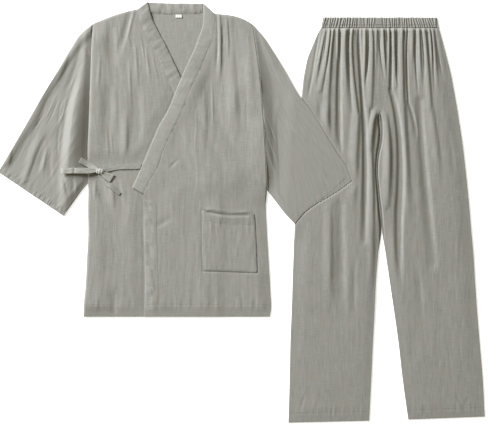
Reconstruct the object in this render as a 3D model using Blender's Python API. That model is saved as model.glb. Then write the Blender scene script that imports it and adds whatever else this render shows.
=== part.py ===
"""Kimono pajama set laid flat: a wrap-front jacket with its bow tied, and elastic-waist trousers.

Every piece that is cut and sewn is its own wall of cloth. A panel is worked out from a table of
sections, each running from its left edge to its right one, and from a table of the folds that lie
on it. The tables are in millimetres as the set is seen from above: x to the right and d down from
the top of each garment. Left and right in the names of pieces are the wearer's.
"""

from collections import namedtuple

import bmesh
import bpy
import numpy as np

MM = 0.001

# Cloth and layers
CLOTH = 1.0
BAND = 2.0
BAND_COLUMNS = 3
BACK_BAND_PUFF = 0.6
GAP = 0.3
SEAM = 0.5
ARMHOLE_GAP = 0.7
LAYER = CLOTH + GAP
LEAN = 0.25
SOFTNESS = 1.2
LINE_STEPS = 10

# Where the top of each garment lies, from the middle of the whole set
JACKET_AT = (-152.4, 504.5)
TROUSERS_AT = (332.4, 467.5)
TROUSERS_IN_JACKET = (TROUSERS_AT[0] - JACKET_AT[0], JACKET_AT[1] - TROUSERS_AT[1])

# Jacket sizes
JACKET_LENGTH = 755.0
UNDERARM_RIGHT = 435.0
UNDERARM_LEFT = 452.0
BACK_STEPS = 37
BODY_LOFT = 2.2
FRONT_ROWS = 20
FRONT_COLUMNS = 18
ARMHOLE_LIP = 3.4
LIP_WIDTH = 16.0
LIP_RUNOUT = 125.0
# Distances past the under front's edge at which the over front steps down off it, climbs onto
# the hidden collar and falls off that again, then the depths between which it lies on it
UNDER_FRONT_STEP = (8.0, 34.0)
COLLAR_CLIMB = (-60.0, -14.0)
COLLAR_FALL = (41.0, 83.0)
COLLAR_STARTS = (120.0, 165.0)
COLLAR_ENDS = (428.0, 480.0)
COLLAR_CLEAR = 0.8
# Distances inside a covering edge at which the cloth beneath it regains its loft
UNDER_COVER = (10.0, 28.0)
SEAM_RISE = (1.0, 14.0)
COLLAR_OVER_ENDS = (466.0, 492.0)
EDGE_ROLL = 5.0
HEM_ROLL = 4.0

# Sleeve sizes
SLEEVE_LOFT = 1.6
VALLEY_FLOOR = 4.0
VALLEY_WIDTH = 30.0
ARMHOLE_FADE = 0.4
SLEEVE_ROWS = 10
SLEEVE_COLUMNS = 16
SLEEVE_LOWER_STRIDE = 2

# Trousers sizes
LEG_LOFT = 4.6
LEG_ROWS = 23
LEG_COLUMNS = 26
LEG_CROWD = 0.5
LEG_LEVEL_FROM = 420.0
LEG_LEVEL_TO = 800.0
LEG_HEM_LOFT = 1.4
INSEAM_ROLL = 7.0
WAIST_FADE = 10.0
WAIST_HOLD = 0.35
SLEEVE_PRESS = 2.4
PRESS_FROM = -34.0
PRESS_TO = -10.0

# Waistband: casing of two cloths over elastic
WAIST_TOP = 0.0
WAIST_BOTTOM = 24.1
WAIST_HALF_TOP = 136.5
WAIST_HALF_BOTTOM = 141.0
WAIST_WALL = 2.2
WAIST_GATHERS = 45
GATHER_HEIGHT = 1.9
GATHER_STEPS = 2
GATHER_UNEVEN = 0.3
GATHER_ENDS = (0.5, 1.0, 1.0, 0.5)

CLOTH_COLOUR = (0.375, 0.368, 0.332, 1.0)
LABEL_COLOUR = (0.82, 0.82, 0.80, 1.0)
CLOTH_ROUGHNESS = 0.9
LABEL_ROUGHNESS = 0.6

Section = namedtuple(
    "Section", "left_x left_d right_x right_d bow bow_at left_lap right_lap",
    defaults=(0.0, 0.5, 0.0, 0.0),
)
Fold = namedtuple("Fold", "x0 d0 x1 d1 x2 d2 width0 width2 height0 height1 height2")
Edge = namedtuple("Edge", "d x")
Point = namedtuple("Point", "x d")
Strip = namedtuple("Strip", "inner_x inner_d inner_z outer_x outer_d outer_z")
Station = namedtuple("Station", "x d z width wide_x wide_d")

# Edges of the body, from the shoulder to the hem
SIDE_RIGHT = (
    Edge(53, -204), Edge(88, -206.5), Edge(194, -210.5), Edge(293, -214), Edge(358, -216.5),
    Edge(400, -215.5), Edge(435, -215), Edge(508, -216), Edge(554, -215.5), Edge(617, -218.5),
    Edge(689, -222.5), Edge(724, -226), Edge(755, -226),
)
SIDE_LEFT = (
    Edge(55, 180), Edge(110, 187.5), Edge(165, 195), Edge(224, 201), Edge(290, 206),
    Edge(354, 210), Edge(410, 212.5), Edge(452, 213.5), Edge(490, 211), Edge(540, 213),
    Edge(617, 217.5), Edge(699, 222), Edge(740, 223), Edge(755, 220),
)
# Seam of the under collar, then the hidden front edge under the other front
SEAM_UNDER = (
    Edge(17, -95.5), Edge(37, -92.5), Edge(60, -86.5), Edge(82, -75.5), Edge(110, -61),
    Edge(144, -44), Edge(194, -20.5), Edge(254, 8), Edge(332, 46.5), Edge(408, 83),
    Edge(450, 84), Edge(755, 84),
)
# Seam of the over collar, then the front edge that shows
SEAM_OVER = (
    Edge(27, 86), Edge(40, 90), Edge(58, 89), Edge(81, 86.5), Edge(100, 80.5), Edge(128, 68),
    Edge(160, 54), Edge(193, 38.5), Edge(231, 22), Edge(272, 5.5), Edge(309, -13.5),
    Edge(361, -36), Edge(403, -50.5), Edge(433, -68.5), Edge(460, -82.5), Edge(500, -83.5),
    Edge(532, -82.5), Edge(617, -80), Edge(698, -79), Edge(755, -81),
)
# Edge of whatever lies over the under front, from where the two collars cross to the hem
COVER_EDGE = (
    Edge(221, -8), Edge(259, -23.5), Edge(292, -43), Edge(344, -66), Edge(385, -83.5),
    Edge(417, -97), Edge(440, -109), Edge(462, -92), Edge(475, -84.5), Edge(532, -83),
    Edge(755, -81),
)

FRONT_RIGHT_SECTIONS = (
    Section(-204, 53, -95.5, 17, -4, 0.5, 0, 7),
    Section(-206, 80, -92.5, 37, -2, 0.5, 0, 7),
    Section(-207, 107, -86.5, 60, 0, 0.5, 0, 7),
    Section(-208, 135, -75.5, 82, 0, 0.5, 0, 7),
    Section(-209, 165, -61, 110, 0, 0.5, 0, 7),
    Section(-210, 197, -44, 144, 0, 0.5, 0, 7),
    Section(-212, 240, -20.5, 194, 0, 0.5, 0, 7),
    Section(-214, 275, -4, 228, 0, 0.5, 0, 7),
    Section(-215, 310, 17, 272, 0, 0.5, 0, 7),
    Section(-217, 350, 46.5, 332, 0, 0.5, 0, 7),
    Section(-215, 390, 70, 380, 0, 0.5, 0, 7),
    Section(-215, 420, 83, 412, 0, 0.5, 0, 0),
    Section(-215, 450, 84, 450),
    Section(-216, 500, 84, 500),
    Section(-216, 560, 84, 560),
    Section(-218, 620, 84, 620),
    Section(-222, 690, 84, 690),
    Section(-226, 735, 84, 735),
    Section(-226, 755, 84, 755),
)
FRONT_LEFT_SECTIONS = (
    Section(86, 27, 180, 55, -8, 0.6, 6, 0),
    Section(90, 40, 184, 85, -4, 0.6, 7, 0),
    Section(89, 58, 189, 118, 0, 0.5, 7, 0),
    Section(80.5, 100, 194, 150, 0, 0.5, 7, 0),
    Section(68, 128, 198, 180, 0, 0.5, 7, 0),
    Section(54, 160, 201, 212, 0, 0.5, 7, 0),
    Section(38.5, 193, 204, 244, 0, 0.5, 7, 0),
    Section(22, 231, 206, 276, 0, 0.5, 7, 0),
    Section(5.5, 272, 209, 312, 0, 0.5, 7, 0),
    Section(-13.5, 309, 210, 345, 0, 0.5, 7, 0),
    Section(-36, 361, 212, 385, 0, 0.5, 7, 0),
    Section(-50.5, 403, 213, 420, 0, 0.5, 7, 0),
    Section(-68.5, 433, 213.5, 440, 0, 0.5, 7, 0),
    Section(-82.5, 462, 213.5, 462),
    Section(-83.5, 500, 210, 500),
    Section(-82, 560, 214, 560),
    Section(-80, 620, 217.5, 620),
    Section(-79, 690, 221.5, 690),
    Section(-80.5, 735, 223, 735),
    Section(-81, 755, 220, 755),
)
SLEEVE_RIGHT_SECTIONS = (
    Section(-205, 53, -215, 435),
    Section(-228, 71, -219, 439),
    Section(-258.5, 114, -225, 446),
    Section(-290, 167.5, -232, 454),
    Section(-323, 221.5, -240, 465),
    Section(-359, 285, -250, 479),
    Section(-395, 346.5, -262, 496),
    Section(-431, 408, -274, 513.5),
)
SLEEVE_LEFT_SECTIONS = (
    Section(180, 55, 213.5, 452),
    Section(204, 82.5, 219, 459),
    Section(229.5, 120, 226, 468),
    Section(259, 168, 234, 478),
    Section(289, 221, 243, 490),
    Section(321, 264, 252, 502),
    Section(352.5, 316, 261, 512),
    Section(382.5, 364.5, 269, 521),
    Section(405, 398, 275, 527, -5, 0.75),
    Section(416, 429, 280, 532, -11, 0.75),
)
COLLAR_RIGHT_STRIP = (
    Strip(-72.5, 0, 1.6, -95.5, 17, 3.0),
    Strip(-68.5, 17, 1.7, -92.5, 37, 3.0),
    Strip(-60, 44, 1.7, -86.5, 60, 3.0),
    Strip(-48, 67.5, 1.7, -75.5, 82, 3.0),
    Strip(-33, 96, 1.7, -61, 110, 3.0),
    Strip(-16.5, 129.5, 1.7, -44, 144, 3.0),
    Strip(7.5, 180.5, 1.7, -20.5, 194, 3.0),
    Strip(36, 240, 1.7, 8, 254, 3.0),
    Strip(74.5, 318, 1.7, 46.5, 332, 3.0),
    Strip(110.5, 393.5, 1.7, 83, 408, 3.0),
)
COLLAR_LEFT_STRIP = (
    Strip(60.5, 3, 1.6, 86, 27, 3.2),
    Strip(62, 18, 1.6, 90, 40, 3.2),
    Strip(61, 36, 1.6, 89, 58, 3.2),
    Strip(58, 62, 1.8, 86.5, 81, 3.3),
    Strip(49, 86, 2.2, 80.5, 100, 3.6),
    Strip(38.5, 115, 3.6, 68, 128, 4.0),
    Strip(24, 146, 5.5, 54, 160, 4.9),
    Strip(8.5, 180.5, 5.6, 38.5, 193, 7.3),
    Strip(-7, 219, 5.6, 22, 231, 7.4),
    Strip(-23.5, 259, 5.3, 5.5, 272, 7.3),
    Strip(-43, 292.5, 3.8, -13.5, 309, 5.8),
    Strip(-66, 344, 3.1, -36, 361, 4.6),
    Strip(-83.5, 385, 3.0, -50.5, 403, 4.5),
    Strip(-97, 417.5, 3.0, -68.5, 433, 4.5),
    Strip(-109.5, 445.5, 3.0, -82.5, 460.5, 4.5),
)
# The back stretch of the collar, from one neck point to the other: inner is its upper edge
COLLAR_BACK_STRIP = (
    Strip(-70, 0.5, 0.0, -65.5, 24.5, 0.0),
    Strip(-45, 2, 0.0, -44, 28, 0.0),
    Strip(-15, 3, 0.0, -12, 29, 0.0),
    Strip(20, 3, 0.0, 22, 28, 0.0),
    Strip(58, 3.5, 0.0, 59.5, 26, 0.0),
)
BACK_NECKLINE = (
    Point(-95.5, 17), Point(-66, 25.2), Point(-44, 28.6), Point(-12, 29.6), Point(22, 28.6),
    Point(60, 26.6), Point(86, 27),
)

FRONT_RIGHT_FOLDS = (
    Fold(-108, 30, -120, 86, -134, 150, 13, 18, 2.6, 2.6, 0.3),
    Fold(-87, 75, -79, 118, -76, 170, 8, 9, 1.8, 1.8, 0.2),
    Fold(-177, 62, -169, 115, -164, 175, 18, 22, -1.6, -2.0, -0.3),
    Fold(-98, 205, -96, 295, -103, 372, 26, 30, -0.4, -2.2, -0.6),
    Fold(-168, 195, -166, 270, -172, 350, 24, 26, -0.4, -2.0, -0.5),
    Fold(-124, 270, -125, 330, -131, 388, 11, 12, 0.5, 2.6, 1.6),
    Fold(-198, 425, -199, 470, -203, 530, 8, 9, 1.8, 1.6, 0.2),
    Fold(-180, 418, -180, 452, -172, 520, 13, 16, -1.8, -1.8, -0.2),
    Fold(-157, 425, -152, 470, -150, 540, 11, 15, 1.6, 1.6, 0.3),
    Fold(-152, 690, -152, 725, -152, 757, 12, 12, -0.3, -1.2, -1.4),
)
FRONT_LEFT_FOLDS = (
    Fold(94, 30, 95.5, 106, 92, 170, 6, 7, -1.6, -1.8, -0.2),
    Fold(101, 30, 103, 134, 101, 215, 8, 10, 2.0, 2.0, 0.2),
    Fold(109, 60, 110, 92, 110, 125, 7, 7, -0.6, -1.0, -0.1),
    Fold(127, 120, 134, 235, 137, 345, 20, 24, 0.5, 2.2, 0.3),
    Fold(165, 80, 176, 200, 180, 320, 20, 24, 0.4, 1.6, 0.3),
    Fold(60, 200, 62, 300, 48, 400, 18, 22, 0.3, 1.2, 0.2),
    Fold(-18, 519, -38, 532, -60, 546, 9, 9, -0.3, -1.2, -0.3),
)
SLEEVE_RIGHT_FOLDS = (
    Fold(-222, 112, -260, 262, -284, 500, 24, 30, 3.4, 6.4, 5.4),
    Fold(-262, 132, -318, 247, -376, 428, 22, 26, 1.8, 2.6, 1.8),
    Fold(-300, 232, -330, 320, -352, 420, 18, 22, 0.3, 1.4, 0.5),
    Fold(-220, 438, -238, 452, -262, 482, 9, 10, 1.6, 1.8, 0.4),
)
SLEEVE_LEFT_FOLDS = (
    Fold(205, 105, 240, 262, 262, 480, 24, 30, 1.4, 3.2, 2.0),
    Fold(262, 215, 305, 331, 338, 463, 26, 36, 0.6, 2.0, 1.2),
    Fold(226, 300, 233, 348, 246, 395, 7, 9, -0.5, -1.6, -0.3),
    Fold(228, 400, 246, 440, 272, 472, 9, 9, 0.3, 1.5, 0.3),
)
# Folds of the trousers, from the gathers at the waist downwards
LEG_RIGHT_FOLDS = (
    Fold(-145, 30, -163, 140, -175, 197, 6, 7, -2.2, -2.2, -0.4),
    Fold(-131, 24, -146, 102, -157, 160, 6, 9, 2.2, 2.6, 0.6),
    Fold(-113, 24, -121, 102, -127, 205, 6, 10, 2.4, 3.0, 0.8),
    Fold(-95, 24, -98.5, 140, -100, 330, 7, 14, -2.6, -4.0, -2.6),
    Fold(-102, 470, -101, 600, -94, 760, 17, 18, -1.5, -1.6, -0.2),
    Fold(-80.5, 24, -85, 102, -77, 246, 9, 13, 2.8, 3.2, 0.6),
    Fold(-71, 24, -74.5, 102, -65, 227, 5, 6, -2.6, -3.4, -0.8),
    Fold(-65, 24, -68, 102, -55, 236, 5.5, 10, 2.2, 2.4, 2.4),
    Fold(-55, 236, -62, 366, -72, 524, 14, 22, 2.4, 2.6, 0.7),
    Fold(-51, 24, -49, 102, -43, 222, 7, 7, -2.4, -3.8, -4.2),
    Fold(-43, 222, -38.5, 354, -43, 540, 8, 14, -4.2, -4.8, -1.4),
    Fold(-36, 24, -37, 102, -38, 165, 6, 5, 2.4, 2.4, 0.5),
    Fold(-28, 24, -29, 102, -35, 157, 5, 6, -2.0, -2.8, -0.6),
    Fold(-20, 24, -20, 102, -26, 225, 6, 13, 2.2, 2.4, 1.6),
    Fold(-29, 222, -22, 354, -20, 524, 11, 12, 1.6, 2.6, 0.7),
    Fold(-14, 222, -18, 255, -13, 305, 6, 8, -1.0, -2.6, -0.5),
)
LEG_LEFT_FOLDS = (
    Fold(7, 24, 9, 83, 14, 150, 6, 6, 2.2, 2.8, 0.5),
    Fold(25.5, 24, 26.5, 102, 27, 174, 5.5, 8, -2.4, -3.6, -4.2),
    Fold(27, 174, 35, 318, 33.5, 467, 9, 15, -4.2, -5.4, -4.8),
    Fold(33.5, 467, 38, 558, 48, 690, 15, 12, -4.8, -2.6, -0.3),
    Fold(34, 24, 34, 102, 39, 170, 5.5, 8, 2.2, 2.8, 0.8),
    Fold(51.5, 24, 51.5, 102, 54, 210, 8, 12, 2.4, 2.8, 2.6),
    Fold(54, 210, 61, 366, 69.5, 560, 14, 24, 2.6, 3.0, 0.5),
    Fold(66.5, 24, 64.5, 102, 69, 205, 5, 6, -2.4, -2.8, -2.0),
    Fold(69, 205, 77, 258, 89, 378, 6, 9, -2.0, -1.4, -0.2),
    Fold(77, 24, 77, 66, 76, 130, 7, 8, 2.2, 2.2, 0.4),
    Fold(86, 24, 85.5, 102, 92.5, 193, 5, 6, -2.4, -2.4, -0.4),
    Fold(94, 24, 96, 102, 99, 170, 5.5, 8, 2.2, 2.0, 0.4),
    Fold(108, 24, 112, 102, 121, 222, 6, 11, 2.2, 2.4, 1.6),
    Fold(121.5, 24, 126, 90, 131, 180, 5, 6, -2.2, -2.4, -0.5),
    Fold(128, 24, 133, 97, 138, 162, 5.5, 8, 2.0, 2.0, 0.5),
    Fold(96, 210, 105, 354, 130, 582, 16, 20, -1.0, -2.2, -0.7),
    Fold(122, 222, 134, 318, 146, 440, 13, 18, 1.6, 1.5, 0.3),
)

LEG_RIGHT_SECTIONS = (
    Section(-141.5, 24.5, -1, 24.5), Section(-149.5, 39.5, -1, 39.5),
    Section(-158, 59, -1.5, 59), Section(-166, 78, -2, 78), Section(-173.5, 97, -2.5, 97),
    Section(-178.5, 119, -2.5, 119), Section(-183, 140.5, -2.5, 140.5),
    Section(-186, 164.5, -2, 164.5), Section(-188.5, 193, -2, 193),
    Section(-191.5, 227, -3, 227), Section(-192.5, 248.5, -4, 248.5),
    Section(-194.5, 270, 0, 270), Section(-196.5, 301, -1, 301),
    Section(-198, 332.5, -7, 332.5), Section(-200, 368.5, -9, 368.5),
    Section(-202, 407, -7.5, 407), Section(-203.5, 438, -4, 438),
    Section(-204.5, 471.5, 0.5, 471.5), Section(-205.5, 507.5, 0.5, 507.5),
    Section(-207.5, 567.5, -4.5, 567.5), Section(-209.5, 625, -9, 625),
    Section(-212, 699.5, -12.5, 699.5), Section(-215, 774, -16.5, 774),
    Section(-217, 870, -21, 870), Section(-220, 972, -26, 967.5),
)
LEG_LEFT_SECTIONS = (
    Section(0, 24.5, 141, 24.5), Section(0, 39.5, 145, 39.5), Section(-0.5, 59, 150.5, 59),
    Section(-1, 78, 155.5, 78), Section(-1.5, 97, 160.5, 97), Section(-1.5, 119, 166, 119),
    Section(-1.5, 140.5, 171, 140.5), Section(-1, 164.5, 175.5, 164.5),
    Section(-0.5, 193, 180.5, 193), Section(-0.5, 227, 186.5, 227),
    Section(3.5, 248.5, 189.5, 248.5), Section(4.5, 270, 193, 270),
    Section(2, 301, 197.5, 301), Section(-4, 332.5, 201.5, 332.5),
    Section(-6, 368.5, 205.5, 368.5), Section(-4.5, 407, 209.5, 407),
    Section(-0.5, 438, 212.5, 438), Section(4, 471.5, 215.5, 471.5),
    Section(6, 507.5, 218.5, 507.5), Section(13.5, 567.5, 224, 567.5),
    Section(22, 625, 227.5, 625), Section(33, 699.5, 232.5, 699.5),
    Section(43.5, 774, 238.5, 774), Section(54.5, 870, 246.5, 870),
    Section(67.5, 964.5, 251, 957.5),
)
LEGS_PART_AT = 507.5
OUTSEAM_UNDER_SLEEVE = (Edge(223, 297), Edge(532, 280))
LIFT_RAMP = (14.0, 64.0)
SLEEVE_OUTER_LINE = ((259, 168), (416, 429))
SLEEVE_CUFF_LINE = ((416, 429), (280, 532))

# Pocket on the over front: its four corners and the drop of its gaping edge
POCKET_SECTIONS = (
    Section(56.5, 499.5, 184, 509, 3, 0.5), Section(57, 508, 184.5, 517, 2, 0.5),
    Section(57.5, 520, 185.5, 528), Section(58, 560, 187.5, 567), Section(59, 605, 189.5, 612),
    Section(59.5, 645, 191, 650),
)
POCKET_ROWS = 6
POCKET_COLUMNS = 7
POCKET_BOX = (42.0, 203.0, 495.0, 690.0)
POCKET_FADE = 15.0
POCKET_LOFT = 0.8
POCKET_GAPE = 1.6
GAPE_RUNOUT = (500.0, 530.0)
POCKET_GAP = 0.4

LABEL_AT = (2.2, 34.2)
LABEL_SIZE = (15.0, 7.5)

# Bow: two tapes tied at the side, each with one loop and one free end
KNOT_AT = (-186.5, 406.5)
KNOT_RADII = (10.0, 7.2, 4.2)
KNOT_Z = 7.8
KNOT_TURN = 12
KNOT_TIERS = 6
BOW_PRESS = 0.2
BOW_BOX = (-214.0, -94.0, 388.0, 418.0)
BOW_FADE = 14.0
TIE_FRONT = (
    Station(-88.3, 394.3, 4.2, 13, -0.4, 1), Station(-108, 395.3, 4.1, 12.5, 0, 1),
    Station(-126, 396, 4.7, 11, 0.1, 1), Station(-146, 398, 4.4, 9, 0.2, 1),
    Station(-160, 401.5, 4.8, 7.5, 0.2, 1), Station(-169, 404, 6.1, 7, 0.1, 1),
    Station(-175.8, 405.4, 7.8, 7.5, 0, 1),
)
TIE_SIDE = (
    Station(-211, 407, 4.8, 8, 0, 1), Station(-207, 407, 4.9, 8, 0, 1),
    Station(-202, 407, 4.7, 7.5, 0, 1), Station(-195.6, 407, 4.7, 7, 0, 1),
)
LOOP_LEFT = (
    Station(-197.2, 405, 7.8, 9, 0, 1), Station(-210, 405, 7.6, 13, 0, 1),
    Station(-235, 405, 7.6, 13.5, 0, 1), Station(-252, 405, 8.1, 13.5, 0, 1),
    Station(-262, 405.2, 9.1, 13.5, 0, 1), Station(-270, 405.4, 10.2, 13.5, 0, 1),
    Station(-276.5, 405.6, 11, 13, 0, 1), Station(-278.2, 405.6, 12, 13, 0, 1),
    Station(-276.5, 405.6, 13, 13, 0, 1), Station(-262, 405.2, 11.8, 13.5, 0, 1),
    Station(-250.5, 405, 11.4, 13.5, 0, 1), Station(-247, 405, 10.3, 13.5, 0, 1),
    Station(-243, 405, 11.2, 13.5, 0, 1), Station(-226, 405, 11.2, 13.5, 0, 1),
    Station(-208, 405, 10.8, 12.5, 0, 1), Station(-197.6, 405, 9.7, 8, 0, 1),
)
LOOP_RIGHT = (
    Station(-180.2, 413.5, 6.8, 7, -0.66, 0.75), Station(-174, 417, 7, 11, -0.66, 0.75),
    Station(-167, 420.8, 7.1, 13.5, -0.66, 0.75), Station(-162.3, 423.2, 7.3, 13.5, -0.66, 0.75),
    Station(-160.8, 425.6, 8.3, 13.5, -0.66, 0.75), Station(-163.6, 428, 9.3, 13.5, -0.66, 0.75),
    Station(-170, 424.4, 9.8, 13.5, -0.66, 0.75), Station(-177, 418.8, 9.8, 11, -0.66, 0.75),
    Station(-182.2, 415.3, 9.2, 7, -0.66, 0.75),
)
END_UP = (
    Station(-195.4, 401.4, 6.2, 11, 0.51, -0.86), Station(-206, 395.3, 6.1, 12.5, 0.51, -0.86),
    Station(-215.5, 389.8, 6.2, 13, 0.51, -0.86), Station(-225, 384.3, 5.2, 13, 0.51, -0.86),
    Station(-233.5, 379.4, 4.6, 13, 0.51, -0.86),
)
END_DOWN = (
    Station(-191.2, 417.6, 5, 8, -0.6, 0.8), Station(-186, 421.5, 4.7, 8.5, -0.6, 0.8),
    Station(-178, 430.5, 4.7, 8.5, -0.65, 0.76), Station(-170, 436.8, 5.8, 8.5, -0.62, 0.79),
    Station(-162, 443, 6.7, 8.5, -0.6, 0.8), Station(-154, 449, 6.3, 8.5, -0.6, 0.8),
    Station(-146, 455, 6.1, 8.5, -0.6, 0.8), Station(-138.5, 461, 5.9, 8.5, -0.6, 0.8),
)


def smooth(places, values, at):
    """A cubic through the values, its slope at each place taken from the neighbours."""
    places = np.asarray(places, float)
    values = np.asarray(values, float)
    slopes = np.gradient(values, places)
    at = np.clip(at, places[0], places[-1])
    i = np.clip(np.searchsorted(places, at) - 1, 0, len(places) - 2)
    step = places[i + 1] - places[i]
    t = (at - places[i]) / step
    start = values[i] * (2 * t**3 - 3 * t**2 + 1) + slopes[i] * step * (t**3 - 2 * t**2 + t)
    end = values[i + 1] * (3 * t**2 - 2 * t**3) + slopes[i + 1] * step * (t**3 - t**2)
    return start + end


def edge_x(edge, d):
    """Where an edge lies at each depth."""
    return smooth([row.d for row in edge], [row.x for row in edge], d)


def ramp(value, start, end):
    """0 before the start, 1 past the end, and an even S between."""
    t = np.clip((value - start) / (end - start), 0.0, 1.0)
    return t * t * (3.0 - 2.0 * t)


def rolled(distance, radius):
    """Quarter circle that an edge rolls down over, as a share of the height behind it."""
    short = 1.0 - np.clip(distance / radius, 0.0, 1.0)
    return np.sqrt(1.0 - short * short)


def through(t, start, middle, end):
    """Quadratic curve through three values, at 0, a half and 1."""
    return (1 - t) * (1 - 2 * t) * start + 4 * t * (1 - t) * middle + t * (2 * t - 1) * end


def nearest(x, d, line_x, line_d):
    """How far along a line each point's nearest place is (0 to 1), and the signed way across."""
    best = np.full(x.shape, np.inf)
    along = np.zeros(x.shape)
    across = np.zeros(x.shape)
    count = len(line_x) - 1
    for i in range(count):
        run_x = line_x[i + 1] - line_x[i]
        run_d = line_d[i + 1] - line_d[i]
        length = np.hypot(run_x, run_d)
        t = ((x - line_x[i]) * run_x + (d - line_d[i]) * run_d) / length**2
        t = np.clip(t, 0.0, 1.0)
        off_x = x - line_x[i] - t * run_x
        off_d = d - line_d[i] - t * run_d
        distance = np.hypot(off_x, off_d)
        side = np.sign(off_x * run_d - off_d * run_x)
        closer = distance < best
        best = np.where(closer, distance, best)
        along = np.where(closer, (i + t) / count, along)
        across = np.where(closer, side * distance, across)
    return along, across


def fold_height(x, d, folds):
    """Ridges and troughs: a raised cosine across each fold's line, steeper on its right side."""
    total = np.zeros(x.shape)
    t = np.linspace(0.0, 1.0, LINE_STEPS + 1)
    for fold in folds:
        line_x = through(t, fold.x0, fold.x1, fold.x2)
        line_d = through(t, fold.d0, fold.d1, fold.d2)
        along, across = nearest(x, d, line_x, line_d)
        width = fold.width0 + (fold.width2 - fold.width0) * along
        height = through(along, fold.height0, fold.height1, fold.height2)
        flank = width * np.where(across > 0, 1 - LEAN, 1 + LEAN)
        total += height * 0.5 * (1 + np.cos(np.pi * np.clip(across / flank, -1, 1)))
    return total


def soft_floor(loft):
    """The loft, bent smoothly so that it never goes below what it lies on."""
    return 0.5 * (loft + np.sqrt(loft * loft + SOFTNESS))


def spaced(count, length, margin):
    """Even places from 0 to 1, with one more at the margin inside each end."""
    inset = margin / length
    even = np.linspace(0.0, 1.0, count + 1)[1:-1]
    even = inset + (1 - 2 * inset) * even
    ends = np.ones(inset.shape)
    return np.concatenate([0 * ends, inset, even + 0 * ends, 1 - inset, ends], axis=-1)


def panel_points(sections, rows, columns, left_edge=None, right_edge=None, crowd=1.0):
    """x and d of a panel's points: rows read between the sections, columns spread across them."""
    table = np.array(sections, float)
    start, end = table[0, 1], table[-1, 1]
    places = spaced(rows, np.array([end - start]), EDGE_ROLL)
    places = start + (end - start) * (crowd * places + (1 - crowd) * places**2)
    left_x, left_d, right_x, right_d, bow, bow_at, left_lap, right_lap = (
        smooth(table[:, 1], column, places)[:, None] for column in table.T
    )
    if left_edge:
        left_x = edge_x(left_edge, left_d)
    if right_edge:
        right_x = edge_x(right_edge, right_d)
    width = np.hypot(right_x - left_x, right_d - left_d)
    across = spaced(columns, width, EDGE_ROLL)
    across = across * (1 + (left_lap + right_lap) / width) - left_lap / width
    inside = np.clip(across, 0.0, 1.0)
    bulge = bow * (inside / bow_at) ** (bow_at / (1 - bow_at)) * (1 - inside) / (1 - bow_at)
    return left_x + (right_x - left_x) * across, left_d + (right_d - left_d) * across + bulge


def edge_distances(x, d):
    """Each point's distance to the left, right, first and last edge of its grid."""
    left = np.hypot(x - x[:, :1], d - d[:, :1])
    right = np.hypot(x - x[:, -1:], d - d[:, -1:])
    first = np.hypot(x - x[:1], d - d[:1])
    last = np.hypot(x - x[-1:], d - d[-1:])
    return left, right, first, last


def upright_wall(x, d, z, wall):
    """Height to add to a sloping layer so that its wall is as thick square to the cloth."""
    by_row = [np.gradient(values, axis=0) for values in (x, d, z)]
    by_column = [np.gradient(values, axis=1) for values in (x, d, z)]
    normal = np.cross(np.stack(by_column, -1), np.stack(by_row, -1))
    upright = np.abs(normal[..., 2]) / np.linalg.norm(normal, axis=-1)
    return wall / np.clip(upright, 0.6, 1.0)


def cloth_material(name, colour, roughness):
    """A plain matt finish in the piece's colour."""
    material = bpy.data.materials.new(name)
    material.use_nodes = True
    shader = material.node_tree.nodes["Principled BSDF"]
    shader.inputs["Base Color"].default_value = colour
    shader.inputs["Roughness"].default_value = roughness
    shader.inputs["Metallic"].default_value = 0.0
    return material


def add_piece(name, points, faces, at, colour=CLOTH_COLOUR, roughness=CLOTH_ROUGHNESS):
    """One closed piece, from points in a garment's millimetres (x right, d down, z up)."""
    points = np.asarray(points, float)
    placed = np.column_stack(
        ((points[:, 0] + at[0]) * MM, (at[1] - points[:, 1]) * MM, points[:, 2] * MM)
    )
    mesh = bpy.data.meshes.new(name)
    mesh.from_pydata(placed.tolist(), [], [list(face) for face in faces])
    edit = bmesh.new()
    edit.from_mesh(mesh)
    bmesh.ops.recalc_face_normals(edit, faces=edit.faces)
    edit.to_mesh(mesh)
    edit.free()
    piece = bpy.data.objects.new(name, mesh)
    piece.data.materials.append(cloth_material(name, colour, roughness))
    bpy.context.scene.collection.objects.link(piece)
    return piece


def grid_triangles(index):
    """Two triangles for each cell of a grid of point numbers, all cut along the same diagonal."""
    a, b = index[:-1, :-1].ravel(), index[:-1, 1:].ravel()
    c, e = index[1:, 1:].ravel(), index[1:, :-1].ravel()
    return np.concatenate([np.column_stack([a, b, c]), np.column_stack([a, c, e])])


def add_closed(name, sides, at, **finish):
    """One closed piece between two grids of points with a rim round them."""
    rows, columns = sides[0].shape[:2]
    first = np.arange(rows * columns).reshape(rows, columns)
    second = first + rows * columns
    rim = np.concatenate([first[0, :-1], first[:-1, -1], first[-1, :0:-1], first[:0:-1, 0]])
    rim = np.append(rim, rim[0])
    ring = np.stack([rim, rim + rows * columns])
    faces = [grid_triangles(first), grid_triangles(second)[:, ::-1], grid_triangles(ring)]
    points = np.concatenate([side.reshape(-1, 3) for side in sides])
    return add_piece(name, points, np.concatenate(faces), at, **finish)


def add_wall(name, x, d, under, over, at, **finish):
    """A closed wall between a panel's lower and upper heights."""
    sides = [np.stack([x, d, z], axis=-1) for z in (over, under)]
    return add_closed(name, sides, at, **finish)


def inset_sides(x, d):
    """The points with their first and last columns moved in by a wall of cloth."""
    x, d = x.copy(), d.copy()
    for column, neighbour in ((0, 1), (-1, -2)):
        run_x = x[:, neighbour] - x[:, column]
        run_d = d[:, neighbour] - d[:, column]
        length = np.hypot(run_x, run_d)
        x[:, column] += run_x / length * CLOTH
        d[:, column] += run_d / length * CLOTH
    return x, d


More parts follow.
